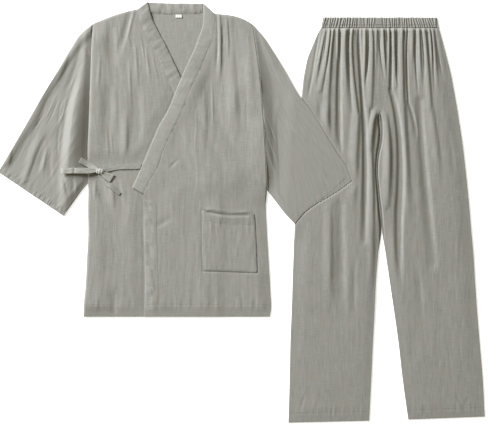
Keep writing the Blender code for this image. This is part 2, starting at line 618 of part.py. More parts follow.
def tube_ring(x, d, upper, lower):
    """Rows of points that run over a flattened tube and back under it, closing on themselves."""
    over = np.stack([x, d, upper], axis=-1)
    under = np.stack([x, d, lower], axis=-1)[:, ::-SLEEVE_LOWER_STRIDE]
    return np.concatenate([over, under, over[:, :1]], axis=1)


def add_tube(name, x, d, low, roof, at):
    """A flattened tube of cloth, open at its two ends, between its lower and upper heights."""
    outer = tube_ring(x, d, roof + upright_wall(x, d, roof, CLOTH), low)
    inner = tube_ring(*inset_sides(x, d), roof, low + CLOTH)
    rows, around = outer.shape[:2]
    outside = np.arange(rows * (around - 1)).reshape(rows, around - 1)
    outside = np.concatenate([outside, outside[:, :1]], axis=1)
    inside = outside + rows * (around - 1)
    faces = [
        grid_triangles(outside), grid_triangles(inside)[:, ::-1],
        grid_triangles(np.stack([inside[0], outside[0]])),
        grid_triangles(np.stack([outside[-1], inside[-1]])),
    ]
    points = np.concatenate([outer[:, :-1].reshape(-1, 3), inner[:, :-1].reshape(-1, 3)])
    return add_piece(name, points, np.concatenate(faces), at)


def add_slab(name, outline, low, thick, at, **finish):
    """A flat layer of cloth inside a closed outline."""
    points = [(x, d, low) for x, d in outline] + [(x, d, low + thick) for x, d in outline]
    count = len(outline)
    faces = [list(range(count)), list(range(2 * count - 1, count - 1, -1))]
    for i in range(count):
        after = (i + 1) % count
        faces.append([i, i + count, after + count, after])
    return add_piece(name, points, faces, at, **finish)


def within(value, low, high, fade):
    """1 between the two limits, fading to 0 outside them."""
    return ramp(value, low - fade, low) * (1 - ramp(value, high, high + fade))


def armhole_lip(inside, d, underarm):
    """The armhole's seam stands up from the shoulder to the underarm and dies away below."""
    below = ramp(d, underarm, underarm + LIP_RUNOUT)
    return ARMHOLE_LIP * (1 - ramp(inside, 0, LIP_WIDTH)) * (1 - below)


def front_right_base(x, d):
    """The under front lies on the back."""
    return np.full(x.shape, LAYER)


def front_right_height(x, d):
    """Height over the back of the under front: pressed flat under the bow and the other front."""
    left = x - edge_x(SIDE_RIGHT, d)
    seam = np.where(d < COVER_EDGE[0].d, edge_x(SEAM_UNDER, d), edge_x(COVER_EDGE, d)) - x
    loft = BODY_LOFT + fold_height(x, d, FRONT_RIGHT_FOLDS)
    height = soft_floor(loft) * ramp(seam, *UNDER_COVER)
    height = height + armhole_lip(left, d, UNDERARM_RIGHT)
    x0, x1, d0, d1 = BOW_BOX
    tied = within(x, x0, x1, BOW_FADE) * within(d, d0, d1, BOW_FADE)
    height = height * (1 - (1 - BOW_PRESS) * tied)
    return height * rolled(left, EDGE_ROLL) * rolled(JACKET_LENGTH - d, HEM_ROLL)


def front_left_base(x, d):
    """Where the over front lies: on the back, the under front and the hidden under collar."""
    past = x - edge_x(SEAM_UNDER, d)
    on_front = 1 - ramp(past, *UNDER_FRONT_STEP)
    on_collar = ramp(past, *COLLAR_CLIMB) * (1 - ramp(past, *COLLAR_FALL))
    on_collar = on_collar * ramp(d, *COLLAR_STARTS) * (1 - ramp(d, *COLLAR_ENDS))
    return LAYER * (1 + on_front) + (BAND + COLLAR_CLEAR) * on_collar


def front_left_height(x, d):
    """Height of the over front over what it lies on, flat under the collar's edge."""
    seam = x - edge_x(SEAM_OVER, d)
    right = edge_x(SIDE_LEFT, d) - x
    free = ramp(d, *COLLAR_OVER_ENDS)
    start = (1 - free) * ramp(seam, *SEAM_RISE) + free * rolled(seam, EDGE_ROLL)
    loft = BODY_LOFT + fold_height(x, d, FRONT_LEFT_FOLDS)
    x0, x1, d0, d1 = POCKET_BOX
    calm = within(x, x0, x1, POCKET_FADE) * within(d, d0, d1, 2 * POCKET_FADE)
    loft = loft * (1 - calm) + POCKET_LOFT * calm
    height = soft_floor(loft) * start + armhole_lip(right, d, UNDERARM_LEFT)
    return height * rolled(right, EDGE_ROLL) * rolled(JACKET_LENGTH - d, HEM_ROLL)


def add_front(name, sections, base, height, left_edge=None, right_edge=None):
    """A jacket front: its base, its height over it and a wall of cloth."""
    x, d = panel_points(sections, FRONT_ROWS, FRONT_COLUMNS, left_edge, right_edge)
    shoulder = rolled(np.hypot(x - x[:1], d - d[:1]), EDGE_ROLL)
    under = base(x, d) + height(x, d) * shoulder
    add_wall(name, x, d, under, under + upright_wall(x, d, under, CLOTH), JACKET_AT)


def no_lift(x, d):
    """A sleeve that lies straight on the surface."""
    return np.zeros(x.shape)


def lift_over_trousers(x, d):
    """How far the sleeve on the trousers' side rises to lie on them, ramping up beside them."""
    top, bottom = OUTSEAM_UNDER_SLEEVE
    beside = top.x + (d - top.d) * (bottom.x - top.x) / (bottom.d - top.d) - x
    return (2 * LAYER + SLEEVE_PRESS + 2 * GAP) * (1 - ramp(beside, *LIFT_RAMP))


def add_sleeve(name, sections, folds, side, out, lift):
    """A sleeve: a flattened tube from the armhole to the cuff, sunk beside the body."""
    x, d = panel_points(sections, SLEEVE_ROWS, SLEEVE_COLUMNS)
    along = np.linspace(0, 1, len(x))[:, None]
    armhole_bend = edge_x(side, d[:1]) + out * ARMHOLE_GAP - x[:1]
    x = x + (1 - ramp(along, 0, ARMHOLE_FADE)) * armhole_bend
    outer, under_side, armhole, cuff = edge_distances(x, d)
    low = lift(x, d)
    beside = np.abs(x - edge_x(side, np.clip(d, side[0].d, UNDERARM_RIGHT)))
    rise = ramp(beside, VALLEY_FLOOR, VALLEY_WIDTH)
    loft = soft_floor(SLEEVE_LOFT + fold_height(x, d, folds)) * rise
    loft = loft * rolled(outer, EDGE_ROLL) * rolled(under_side, EDGE_ROLL)
    loft = loft * rolled(cuff, HEM_ROLL) * ramp(armhole, 0, EDGE_ROLL)
    add_tube(name, x, d, low, low + LAYER + loft, JACKET_AT)


def add_band(name, strip, puff=0.0):
    """A stretch of the collar: a strip of doubled cloth between its inner and outer edges."""
    inner_x, inner_d, inner_z, outer_x, outer_d, outer_z = (
        np.array(column, float)[:, None] for column in zip(*strip)
    )
    across = np.linspace(0, 1, BAND_COLUMNS + 1)[None, :]
    x = inner_x + (outer_x - inner_x) * across
    d = inner_d + (outer_d - inner_d) * across
    z = inner_z + (outer_z - inner_z) * across
    add_wall(name, x, d, z, z + BAND + puff * 4 * across * (1 - across), JACKET_AT)


def sleeve_cover(x, d):
    """How far inside the sleeve that lies on the trousers each of their points is."""
    x = x + TROUSERS_IN_JACKET[0]
    d = d + TROUSERS_IN_JACKET[1]
    depths = []
    for (x0, d0), (x1, d1) in (SLEEVE_OUTER_LINE, SLEEVE_CUFF_LINE):
        length = np.hypot(x1 - x0, d1 - d0)
        depths.append(((d - d0) * (x1 - x0) - (x - x0) * (d1 - d0)) / length)
    return np.minimum(depths[0], depths[1])


def add_leg_front(name, sections, folds, inseam_left):
    """A trouser front: gathered at the waist, its folds running out towards the hem."""
    x, d = panel_points(sections, LEG_ROWS, LEG_COLUMNS, crowd=LEG_CROWD)
    left, right, waist, hem = edge_distances(x, d)
    inseam, outseam = (left, right) if inseam_left else (right, left)
    level = LEG_LOFT + (LEG_HEM_LOFT - LEG_LOFT) * ramp(d, LEG_LEVEL_FROM, LEG_LEVEL_TO)
    height = soft_floor(level + fold_height(x, d, folds))
    height = height * rolled(outseam, EDGE_ROLL) * rolled(inseam, INSEAM_ROLL)
    height = height * (WAIST_HOLD + (1 - WAIST_HOLD) * ramp(waist, 0, WAIST_FADE))
    height = height * rolled(hem, HEM_ROLL)
    pressed = ramp(sleeve_cover(x, d), PRESS_FROM, PRESS_TO)
    height = height * (1 - pressed) + np.minimum(height, SLEEVE_PRESS - GAP) * pressed
    under = LAYER + height
    add_wall(name, x, d, under, under + upright_wall(x, d, under, CLOTH), TROUSERS_AT)


def add_leg_back(name, sections, inseam_left):
    """A trouser back, flat on the surface; the two meet until the legs part."""
    meeting = 0.5 * SEAM if inseam_left else -0.5 * SEAM
    outline_left = []
    outline_right = []
    for row, other in zip(LEG_RIGHT_SECTIONS, LEG_LEFT_SECTIONS):
        middle = 0.5 * (row.right_x + other.left_x) + meeting
        joined = row.right_d <= LEGS_PART_AT
        if inseam_left:
            outline_left.append((middle if joined else other.left_x, other.left_d))
            outline_right.append((other.right_x, other.right_d))
        else:
            outline_left.append((row.left_x, row.left_d))
            outline_right.append((middle if joined else row.right_x, row.right_d))
    add_slab(name, outline_left + outline_right[::-1], 0.0, CLOTH, TROUSERS_AT)


def add_waistband():
    """The elastic casing: gathered in front, flat where it lies on the surface behind."""
    columns = WAIST_GATHERS * GATHER_STEPS
    across = np.linspace(-1, 1, columns + 1)[None, :]
    rows = np.linspace(0, 1, len(GATHER_ENDS))[:, None]
    half = WAIST_HALF_TOP + (WAIST_HALF_BOTTOM - WAIST_HALF_TOP) * rows
    x = half * across
    d = WAIST_TOP + (WAIST_BOTTOM - WAIST_TOP) * rows + 0.0 * across
    wave = 0.5 - 0.5 * np.cos(np.linspace(0, 2 * np.pi * WAIST_GATHERS, columns + 1))[None, :]
    uneven = 1 + GATHER_UNEVEN * np.sin(7.3 * across) * np.cos(19.1 * across)
    edge = rolled(WAIST_HALF_TOP * (1 - abs(across)), EDGE_ROLL)
    height = GATHER_HEIGHT * wave * uneven * np.array(GATHER_ENDS)[:, None] * edge
    under = LAYER + 0.0 * height
    add_wall("waistband_front", x, d, under, under + WAIST_WALL + height, TROUSERS_AT)
    outline = [
        (-WAIST_HALF_TOP, WAIST_TOP), (WAIST_HALF_TOP, WAIST_TOP),
        (WAIST_HALF_BOTTOM, WAIST_BOTTOM), (-WAIST_HALF_BOTTOM, WAIST_BOTTOM),
    ]
    add_slab("waistband_back", outline, 0.0, CLOTH, TROUSERS_AT)


def add_jacket_back():
    """The back panel, flat on the surface, its neckline scooped between the neck points."""
    down_right = np.linspace(SIDE_RIGHT[0].d, JACKET_LENGTH, BACK_STEPS)
    down_left = np.linspace(SIDE_LEFT[0].d, JACKET_LENGTH, BACK_STEPS)
    left = [(float(edge_x(SIDE_RIGHT, d)), float(d)) for d in down_right]
    right = [(float(edge_x(SIDE_LEFT, d)), float(d)) for d in down_left]
    outline = [*BACK_NECKLINE, *right, *reversed(left)]
    add_slab("jacket_back", outline, 0.0, CLOTH, JACKET_AT)


def add_pocket():
    """Patch pocket, made from the over front's own points moved out, its opening edge gaping."""
    x, d = panel_points(POCKET_SECTIONS, POCKET_ROWS, POCKET_COLUMNS)
    panel = front_left_base(x, d) + front_left_height(x, d) + CLOTH
    across = (x - x[:, :1]) / (x[:, -1:] - x[:, :1])
    gape = POCKET_GAPE * 4 * across * (1 - across) * (1 - ramp(d, *GAPE_RUNOUT))
    under = panel + POCKET_GAP + gape
    add_wall("pocket", x, d, under, under + CLOTH, JACKET_AT)


def add_label():
    """Bare label sewn into the back of the neck."""
    x, d = LABEL_AT
    half_x, half_d = LABEL_SIZE[0] / 2, LABEL_SIZE[1] / 2
    outline = [
        (x - half_x, d - half_d), (x + half_x, d - half_d),
        (x + half_x, d + half_d), (x - half_x, d + half_d),
    ]
    add_slab(
        "neck_label", outline, LAYER, CLOTH, JACKET_AT,
        colour=LABEL_COLOUR, roughness=LABEL_ROUGHNESS,
    )


def add_tape(name, route):
    """A flat tape along its stations, each with the tape's width and the way that it lies."""
    x, d, z, width, wide_x, wide_d = (np.array(column, float) for column in zip(*route))
    centre = np.column_stack([x, d, z])
    run = np.gradient(centre, axis=0)
    wide = np.column_stack([wide_x, wide_d, 0 * z]) / np.hypot(wide_x, wide_d)[:, None]
    normal = np.cross(run, wide)
    normal /= np.linalg.norm(normal, axis=1)[:, None]
    across = np.array([-0.5, 0.0, 0.5])[None, :, None]
    spread = centre[:, None, :] + across * width[:, None, None] * wide[:, None, :]
    sides = [spread + side * CLOTH * normal[:, None, :] for side in (0.5, -0.5)]
    add_closed(name, sides, JACKET_AT)


def add_knot():
    """The knot: tape drawn round itself into a small pillow."""
    turns = np.linspace(0, 2 * np.pi, KNOT_TURN + 1)[:-1]
    tiers = np.linspace(0, np.pi, KNOT_TIERS + 2)[1:-1]
    ring = np.sin(tiers)[:, None] * np.ones(KNOT_TURN)
    x = KNOT_AT[0] + KNOT_RADII[0] * ring * np.cos(turns)
    d = KNOT_AT[1] + KNOT_RADII[1] * ring * np.sin(turns)
    z = KNOT_Z + KNOT_RADII[2] * np.cos(tiers)[:, None] + 0.0 * ring
    count = x.size
    points = np.column_stack([x.ravel(), d.ravel(), z.ravel()]).tolist()
    points += [(*KNOT_AT, KNOT_Z + KNOT_RADII[2]), (*KNOT_AT, KNOT_Z - KNOT_RADII[2])]
    index = np.arange(count).reshape(x.shape)
    index = np.concatenate([index, index[:, :1]], axis=1)
    faces = grid_triangles(index).tolist()
    for i in range(KNOT_TURN):
        faces.append([count, index[0, i], index[0, i + 1]])
        faces.append([count + 1, index[-1, i + 1], index[-1, i]])
    add_piece("bow_knot", points, faces, JACKET_AT)


def main():
    for old in list(bpy.data.objects):
        bpy.data.objects.remove(old)
    add_jacket_back()
    add_front(
        "jacket_front_right", FRONT_RIGHT_SECTIONS, front_right_base, front_right_height,
        left_edge=SIDE_RIGHT,
    )
    add_front(
        "jacket_front_left", FRONT_LEFT_SECTIONS, front_left_base, front_left_height,
        right_edge=SIDE_LEFT,
    )
    add_sleeve(
        "sleeve_right", SLEEVE_RIGHT_SECTIONS, SLEEVE_RIGHT_FOLDS, SIDE_RIGHT, -1, no_lift
    )
    add_sleeve(
        "sleeve_left", SLEEVE_LEFT_SECTIONS, SLEEVE_LEFT_FOLDS, SIDE_LEFT, 1, lift_over_trousers
    )
    add_band("collar_right", COLLAR_RIGHT_STRIP)
    add_band("collar_left", COLLAR_LEFT_STRIP)
    add_band("collar_back", COLLAR_BACK_STRIP, BACK_BAND_PUFF)
    add_pocket()
    add_label()
    add_tape("tie_front", TIE_FRONT)
    add_tape("tie_side", TIE_SIDE)
    add_knot()
    add_tape("bow_loop_left", LOOP_LEFT)
    add_tape("bow_loop_right", LOOP_RIGHT)
    add_tape("bow_end_up", END_UP)
    add_tape("bow_end_down", END_DOWN)
    add_leg_front("trousers_front_right", LEG_RIGHT_SECTIONS, LEG_RIGHT_FOLDS, False)
    add_leg_front("trousers_front_left", LEG_LEFT_SECTIONS, LEG_LEFT_FOLDS, True)
    add_leg_back("trousers_back_right", LEG_RIGHT_SECTIONS, False)
    add_leg_back("trousers_back_left", LEG_LEFT_SECTIONS, True)
    add_waistband()


main()
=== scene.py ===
"""Looks of a kimono pajama set laid flat: a wrap-front jacket with its bow tied, and its trousers.

Every piece of cloth is a thin closed wall on a grid. Its heights come from where it lies, its loft,
the folds seen in it and the crinkle of washed gauze. Tables are in millimetres as the set is seen
from above: x to the right and d down from the top of each garment. Left and right in the names of
pieces are the wearer's.
"""

from __future__ import annotations

import logging
import math
from dataclasses import dataclass
from enum import Enum, IntEnum
from typing import Any, Callable, NamedTuple, Sequence

import bpy
import numpy as np
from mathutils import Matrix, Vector


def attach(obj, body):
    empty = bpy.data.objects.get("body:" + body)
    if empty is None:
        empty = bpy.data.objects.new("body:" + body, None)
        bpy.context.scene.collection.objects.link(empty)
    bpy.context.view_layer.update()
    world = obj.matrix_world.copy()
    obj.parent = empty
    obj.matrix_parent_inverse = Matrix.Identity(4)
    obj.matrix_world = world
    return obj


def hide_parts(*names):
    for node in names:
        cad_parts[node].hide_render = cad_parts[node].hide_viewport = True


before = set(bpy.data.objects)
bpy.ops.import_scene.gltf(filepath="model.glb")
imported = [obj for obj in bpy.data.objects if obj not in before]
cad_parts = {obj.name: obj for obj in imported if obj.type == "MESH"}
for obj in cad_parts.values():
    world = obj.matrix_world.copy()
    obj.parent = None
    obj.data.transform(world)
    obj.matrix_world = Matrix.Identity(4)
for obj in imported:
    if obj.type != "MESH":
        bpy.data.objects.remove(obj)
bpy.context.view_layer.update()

Array = np.ndarray
Folds = Sequence[Sequence[float]]
Pair = tuple[float, float]
Triple = tuple[float, float, float]
LOG = logging.getLogger("pajama_set")

MM = 0.001
FLAT_MAP = "flat_cloth"

# Cloth and the layers that it lies in, the same as in the part
CLOTH = 1.0
BAND = 2.0
GAP = 0.3
LAYER = CLOTH + GAP
COLLAR_LAP = 7.0

# Folds: how far a ridge leans, the runs of its line, how far off it is looked for, how tall it is
# drawn, how narrow a trough is, and the end height below which a fold fades out
LEAN = 0.25
LINE_STEPS = 14
FOLD_REACH = 1.3
FOLD_GAIN = 1.25
TROUGH_POWER = 1.3
FADING = 0.95

# How softly a loft is kept above 0, cells of a random field, the three steps in a grid's margin,
# the least upright share of a slope, the steepest slope read off a face, places read at a time,
# what counts as nothing, and a depth that no cloth reaches
SOFTNESS = 1.2
FIELD_CELLS = 256
MARGIN_STEPS = (0.0, 0.06, 0.5)
LEAST_UPRIGHT = 0.6
STEEPEST = 1.2
BATCH = 64
NOTHING = 1e-9
NEVER = 999.0


class Held(Enum):
    """How a piece of cloth is held."""

    LAID = "laid"
    GATHERED = "gathered"
    FOLDED = "folded"


class Slot(Enum):
    """Names of the material slots."""

    JACKET = "jacket_cloth"
    TIE = "tie_cloth"
    TROUSERS = "trousers_cloth"
    LABEL = "label_cloth"


class Seed(IntEnum):
    """Picks the random fields of each piece."""

    UNDER_FRONT = 11
    UNDER_HEM = 14
    OVER_FRONT = 23
    OVER_HEM = 26
    FACING = 29
    BACK = 41
    POCKET = 51
    POCKET_SEAM = 53
    LABEL = 57
    ARMHOLE = 61
    SLEEVE_RIGHT = 71
    SLEEVE_LEFT = 81
    COLLAR_RIGHT = 91
    COLLAR_LEFT = 95
    COLLAR_BACK = 99
    TAPES = 101
    CASING = 131
    LEGS = 141
    KNOT = 171


class Edge(NamedTuple):
    """Where an edge lies at one depth."""

    d: float
    x: float


class Section(NamedTuple):
    """A line across a panel from its left edge to its right one, and how it bows."""

    left_x: float
    left_d: float
    right_x: float
    right_d: float
    bow: float = 0.0
    bow_at: float = 0.5
    left_lap: float = 0.0
    right_lap: float = 0.0


class Station(NamedTuple):
    """A place on a tape's route, its width there and the way that it lies."""

    x: float
    d: float
    z: float
    width: float
    wide_x: float
    wide_d: float


class Strip(NamedTuple):
    """The two edges of a collar band at one place along it."""

    inner_x: float
    inner_d: float
    inner_z: float
    outer_x: float
    outer_d: float
    outer_z: float


def smooth(places: Array, values: Array, at: Array) -> Array:
    """A cubic through the values, its slope at each place taken from the neighbours.

    Args:
        places: Where the values are, in rising order.
        values: The values there.
        at: Where to read the curve.

    Returns:
        The curve's values, in at's shape.
    """
    places = np.asarray(places, float)
    values = np.asarray(values, float)
    slopes = np.gradient(values, places)
    at = np.clip(at, places[0], places[-1])
    i = np.clip(np.searchsorted(places, at) - 1, 0, len(places) - 2)
    step = places[i + 1] - places[i]
    t = (at - places[i]) / step
    start = values[i] * (2 * t**3 - 3 * t**2 + 1) + slopes[i] * step * (t**3 - 2 * t**2 + t)
    return start + values[i + 1] * (3 * t**2 - 2 * t**3) + slopes[i + 1] * step * (t**3 - t**2)


def edge_x(edge: Sequence[Edge], d: Array) -> Array:
    """Where an edge lies at each depth."""
    return smooth([row.d for row in edge], [row.x for row in edge], d)


def ramp(value: Array, start: float, end: float) -> Array:
    """0 before the start, 1 past the end, and an even S between."""
    t = np.clip((value - start) / (end - start), 0.0, 1.0)
    return t * t * (3.0 - 2.0 * t)


def eased(share: float | Array, value: Array, start: float | Array, end: float | Array) -> Array:
    """A share before the start, the whole past the end, and an even S between."""
    return share + (1 - share) * ramp(value, start, end)


def within(value: Array, low: float, high: float, fade: float) -> Array:
    """1 between the two limits, fading to 0 outside them."""
    return ramp(value, low - fade, low) * (1 - ramp(value, high, high + fade))


def bump(value: Array, middle: float, half: float) -> Array:
    """A raised cosine: 1 at the middle and 0 half a width away."""
    return 0.5 * (1 + np.cos(np.pi * np.clip((value - middle) / half, -1, 1)))


def rolled(distance: Array, radius: float | Array) -> Array:
    """Quarter circle that an edge rolls down over, as a share of the height behind it."""
    short = 1.0 - np.clip(distance / radius, 0.0, 1.0)
    return np.sqrt(1.0 - short * short)


def through(t: Array, start: float, middle: float, end: float) -> Array:
    """Quadratic curve through three values, at 0, a half and 1."""
    return (1 - t) * (1 - 2 * t) * start + 4 * t * (1 - t) * middle + t * (2 * t - 1) * end


def lattice(u: Array, v: Array, seed: int) -> Array:
    """Smooth random field: a random value at each whole u and v, eased in between.

    Args:
        u: First coordinate, in cells.
        v: Second coordinate, in cells.
        seed: Picks the field.

    Returns:
        Values from -1 to 1, in the shape of u and v together.
    """
    size = FIELD_CELLS
    table = np.random.default_rng(seed).uniform(-1.0, 1.0, (size, size))
    u, v = np.broadcast_arrays(np.asarray(u, float), np.asarray(v, float))
    i, j = np.floor(u).astype(int), np.floor(v).astype(int)
    s, t = u - i, v - j
    s, t = s * s * (3 - 2 * s), t * t * (3 - 2 * t)
    i, j, after_i, after_j = i % size, j % size, (i + 1) % size, (j + 1) % size
    near = table[i, j] * (1 - t) + table[i, after_j] * t
    far = table[after_i, j] * (1 - t) + table[after_i, after_j] * t
    return near * (1 - s) + far * s


def nearest(x: Array, d: Array, line_x: Array, line_d: Array) -> tuple[Array, Array]:
    """How each point lies against a line of straight runs.

    Args:
        x: The points' x.
        d: The points' d.
        line_x: The line's x, from its start to its end.
        line_d: The line's d.

    Returns:
        How far along the line the nearest place is (0 to 1), and the signed way across it.
    """
    best = np.full(x.shape, np.inf)
    along, across = np.zeros(x.shape), np.zeros(x.shape)
    count = len(line_x) - 1
    for i in range(count):
        run_x, run_d = line_x[i + 1] - line_x[i], line_d[i + 1] - line_d[i]
        t = ((x - line_x[i]) * run_x + (d - line_d[i]) * run_d) / (run_x**2 + run_d**2)
        t = np.clip(t, 0.0, 1.0)
        off_x, off_d = x - line_x[i] - t * run_x, d - line_d[i] - t * run_d
        distance = np.hypot(off_x, off_d)
        side = np.sign(off_x * run_d - off_d * run_x)
        closer = distance < best
        best = np.where(closer, distance, best)
        along = np.where(closer, (i + t) / count, along)
        across = np.where(closer, side * distance, across)
    return along, across


def fold_height(x: Array, d: Array, folds: Folds) -> Array:
    """Ridges and troughs: a raised cosine across each fold's line, steeper on its right side.

    A trough's cosine is raised to a power, so that it is the narrower of the two. Where folds
    meet, the highest ridge and the deepest trough are added, so that one that runs on into the
    next isn't doubled at their joint. One that ends low fades out over its last half.

    Args:
        x: The points' x.
        d: The points' d.
        folds: Rows of x and d at the start, middle and end of a fold's line, its half widths at
            the two ends, and its heights at the start, middle and end.

    Returns:
        Heights in mm at each point.
    """
    ridge, trough = np.zeros(x.shape), np.zeros(x.shape)
    t = np.linspace(0.0, 1.0, LINE_STEPS + 1)
    for x0, d0, x1, d1, x2, d2, width0, width2, height0, height1, height2 in folds:
        reach = FOLD_REACH * max(width0, width2)
        line_x, line_d = through(t, x0, x1, x2), through(t, d0, d1, d2)
        close = (x > line_x.min() - reach) & (x < line_x.max() + reach)
        close &= (d > line_d.min() - reach) & (d < line_d.max() + reach)
        if not close.any():
            continue
        along, across = nearest(x[close], d[close], line_x, line_d)
        width = width0 + (width2 - width0) * along
        flank = width * np.where(across > 0, 1 - LEAN, 1 + LEAN)
        height, shape = through(along, height0, height1, height2), bump(across / flank, 0.0, 1.0)
        if abs(height2) < FADING:
            height = height * (1 - ramp(along, 0.5, 1.0))
        ridge[close] = np.maximum(ridge[close], height * shape)
        trough[close] = np.minimum(trough[close], height * shape**TROUGH_POWER)
    return FOLD_GAIN * (ridge + trough)


def soft_floor(loft: Array) -> Array:
    """The loft, bent smoothly so that it never goes below what it lies on."""
    return 0.5 * (loft + np.sqrt(loft * loft + SOFTNESS))


def spread(count: int, length: Array, margin: float) -> Array:
    """Even places from 0 to 1, with three more in the margin at each end.

    The first step is short, so that an edge's smooth shading stays within it.

    Args:
        count: Even steps between the margins.
        length: How long the line is, in mm.
        margin: How long a margin is, in mm.

    Returns:
        The places along the last axis.
    """
    inset = margin / length
    even = inset + (1 - 2 * inset) * np.linspace(0.0, 1.0, count + 1)
    close = inset * np.array(MARGIN_STEPS)
    return np.concatenate([close, even, 1 - close[..., ::-1]], axis=-1)


def panel_points(
    sections: Sequence[Section], rows: int, columns: int, left_edge: Sequence[Edge] = (),
    right_edge: Sequence[Edge] = (), crowd: float = 1.0, margin: float = 5.0,
) -> tuple[Array, Array]:
    """A panel's grid: rows are read between the sections, and columns spread across them.

    Args:
        sections: Lines across the panel, from its top to its bottom.
        rows: Steps down it.
        columns: Steps across it.
        left_edge: Its left edge, where that is finer than the sections.
        right_edge: Its right edge, the same.
        crowd: 1 spreads the rows evenly, and less crowds them towards the top.
        margin: The strip at each edge where points are closer, in mm.

    Returns:
        x and d of the grid's points.
    """
    table = np.array(sections, float)
    start, end = table[0, 1], table[-1, 1]
    places = spread(rows, np.array([end - start]), margin)
    places = start + (end - start) * (crowd * places + (1 - crowd) * places**2)
    left_x, left_d, right_x, right_d, bow, bow_at, left_lap, right_lap = (
        smooth(table[:, 1], column, places)[:, None] for column in table.T
    )
    if left_edge:
        left_x = edge_x(left_edge, left_d)
    if right_edge:
        right_x = edge_x(right_edge, right_d)
    width = np.hypot(right_x - left_x, right_d - left_d)
    across = spread(columns, width, margin)
    across = across * (1 + (left_lap + right_lap) / width) - left_lap / width
    inside = np.clip(across, 0.0, 1.0)
    bulge = bow * (inside / bow_at) ** (bow_at / (1 - bow_at)) * (1 - inside) / (1 - bow_at)
    return left_x + (right_x - left_x) * across, left_d + (right_d - left_d) * across + bulge


def level_sections(rows: Sequence[Sequence[float]]) -> tuple[Section, ...]:
    """Sections that run level: rows of left x, right x and d."""
    return tuple(Section(left, d, right, d) for left, right, d in rows)


def front_sections(rows: Sequence[Sequence[float]], seam_left: bool,
                   collar_end: float) -> tuple[Section, ...]:
    """A front's lines from its seam to its side, whose x comes from the side's own table.

    Args:
        rows: The seam's x and d and the side's d; then, where they aren't the usual ones, the
            bow, where it is and how far the front goes under the collar.
        seam_left: Whether the seam is the left edge.
        collar_end: The d from which nothing goes under the collar.

    Returns:
        The lines, with 0 for the side's x.
    """
    sections = []
    for x, d, side_d, *given in rows:
        usual = (0.0, 0.5, COLLAR_LAP if d < collar_end else 0.0)
        bow, bow_at, lap = (*given, *usual[len(given) :])
        ends, laps = (x, d, 0.0, side_d), (lap, 0.0)
        if not seam_left:
            ends, laps = (0.0, side_d, x, d), (0.0, lap)
        sections.append(Section(*ends, bow, bow_at, *laps))
    return tuple(sections)


def edge_distances(x: Array, d: Array) -> tuple[Array, Array, Array, Array]:
    """Each point's distance to the four edges of its grid, along its own row or column.

    Args:
        x: The points' x.
        d: The points' d.

    Returns:
        Distances to the left, right, first and last edge.
    """
    left = np.hypot(x - x[:, :1], d - d[:, :1])
    right = np.hypot(x - x[:, -1:], d - d[:, -1:])
    first = np.hypot(x - x[:1], d - d[:1])
    last = np.hypot(x - x[-1:], d - d[-1:])
    return left, right, first, last


def upright(x: Array, d: Array, z: Array, wall: float) -> Array:
    """Height of a sloping layer whose wall is that thick square to the cloth.

    Args:
        x: The grid's x.
        d: The grid's d.
        z: Height of one face of the layer.
        wall: Its thickness.

    Returns:
        How much higher its other face is, at each point.
    """
    by_row = np.stack([np.gradient(values, axis=0) for values in (x, d, z)], -1)
    by_column = np.stack([np.gradient(values, axis=1) for values in (x, d, z)], -1)
    normal = np.cross(by_column, by_row)
    lean = np.abs(normal[..., 2]) / np.linalg.norm(normal, axis=-1)
    return wall / np.clip(lean, LEAST_UPRIGHT, 1.0)


def run_lengths(points: Array, axis: int) -> Array:
    """Lengths from the start along one axis of a grid of points.

    Args:
        points: The grid, rows by columns by 3.
        axis: 0 down the columns and 1 along the rows.

    Returns:
        The lengths, rows by columns.
    """
    steps = np.linalg.norm(np.diff(points, axis=axis), axis=-1)
    start = np.zeros_like(np.take(steps, [0], axis=axis))
    return np.concatenate([start, np.cumsum(steps, axis=axis)], axis=axis)


def quads(index: Array) -> Array:
    """The four corners of each cell of a grid of point numbers."""
    corners = [index[:-1, :-1], index[:-1, 1:], index[1:, 1:], index[1:, :-1]]
    return np.stack(corners, axis=-1).reshape(-1, 4)


@dataclass
class ClothMesh:
    """A mesh in a garment's mm, with the flat cloth's own place of each corner, in metres."""

    points: Array
    faces: Array
    flat: Array
    flat_faces: Array


def wall_mesh(over: Array, under: Array, flat: Array) -> ClothMesh:
    """One closed sheet: an upper and a lower grid of points, and a rim round them.

    Args:
        over: The upper grid, rows by columns by 3.
        under: The lower grid.
        flat: The flat cloth's own coordinates of the grid.

    Returns:
        The closed mesh.
    """
    rows, columns = over.shape[:2]
    first = np.arange(rows * columns).reshape(rows, columns)
    second = first + rows * columns
    rim = np.concatenate([first[0, :-1], first[:-1, -1], first[-1, :0:-1], first[:0:-1, 0]])
    rim = np.append(rim, rim[0])
    faces = np.concatenate(
        [quads(first), quads(second)[:, ::-1], quads(np.stack([rim + rows * columns, rim]))]
    )
    points = np.concatenate([over.reshape(-1, 3), under.reshape(-1, 3)])
    return ClothMesh(points, faces, np.tile(flat.reshape(-1, 2), (2, 1)), faces)


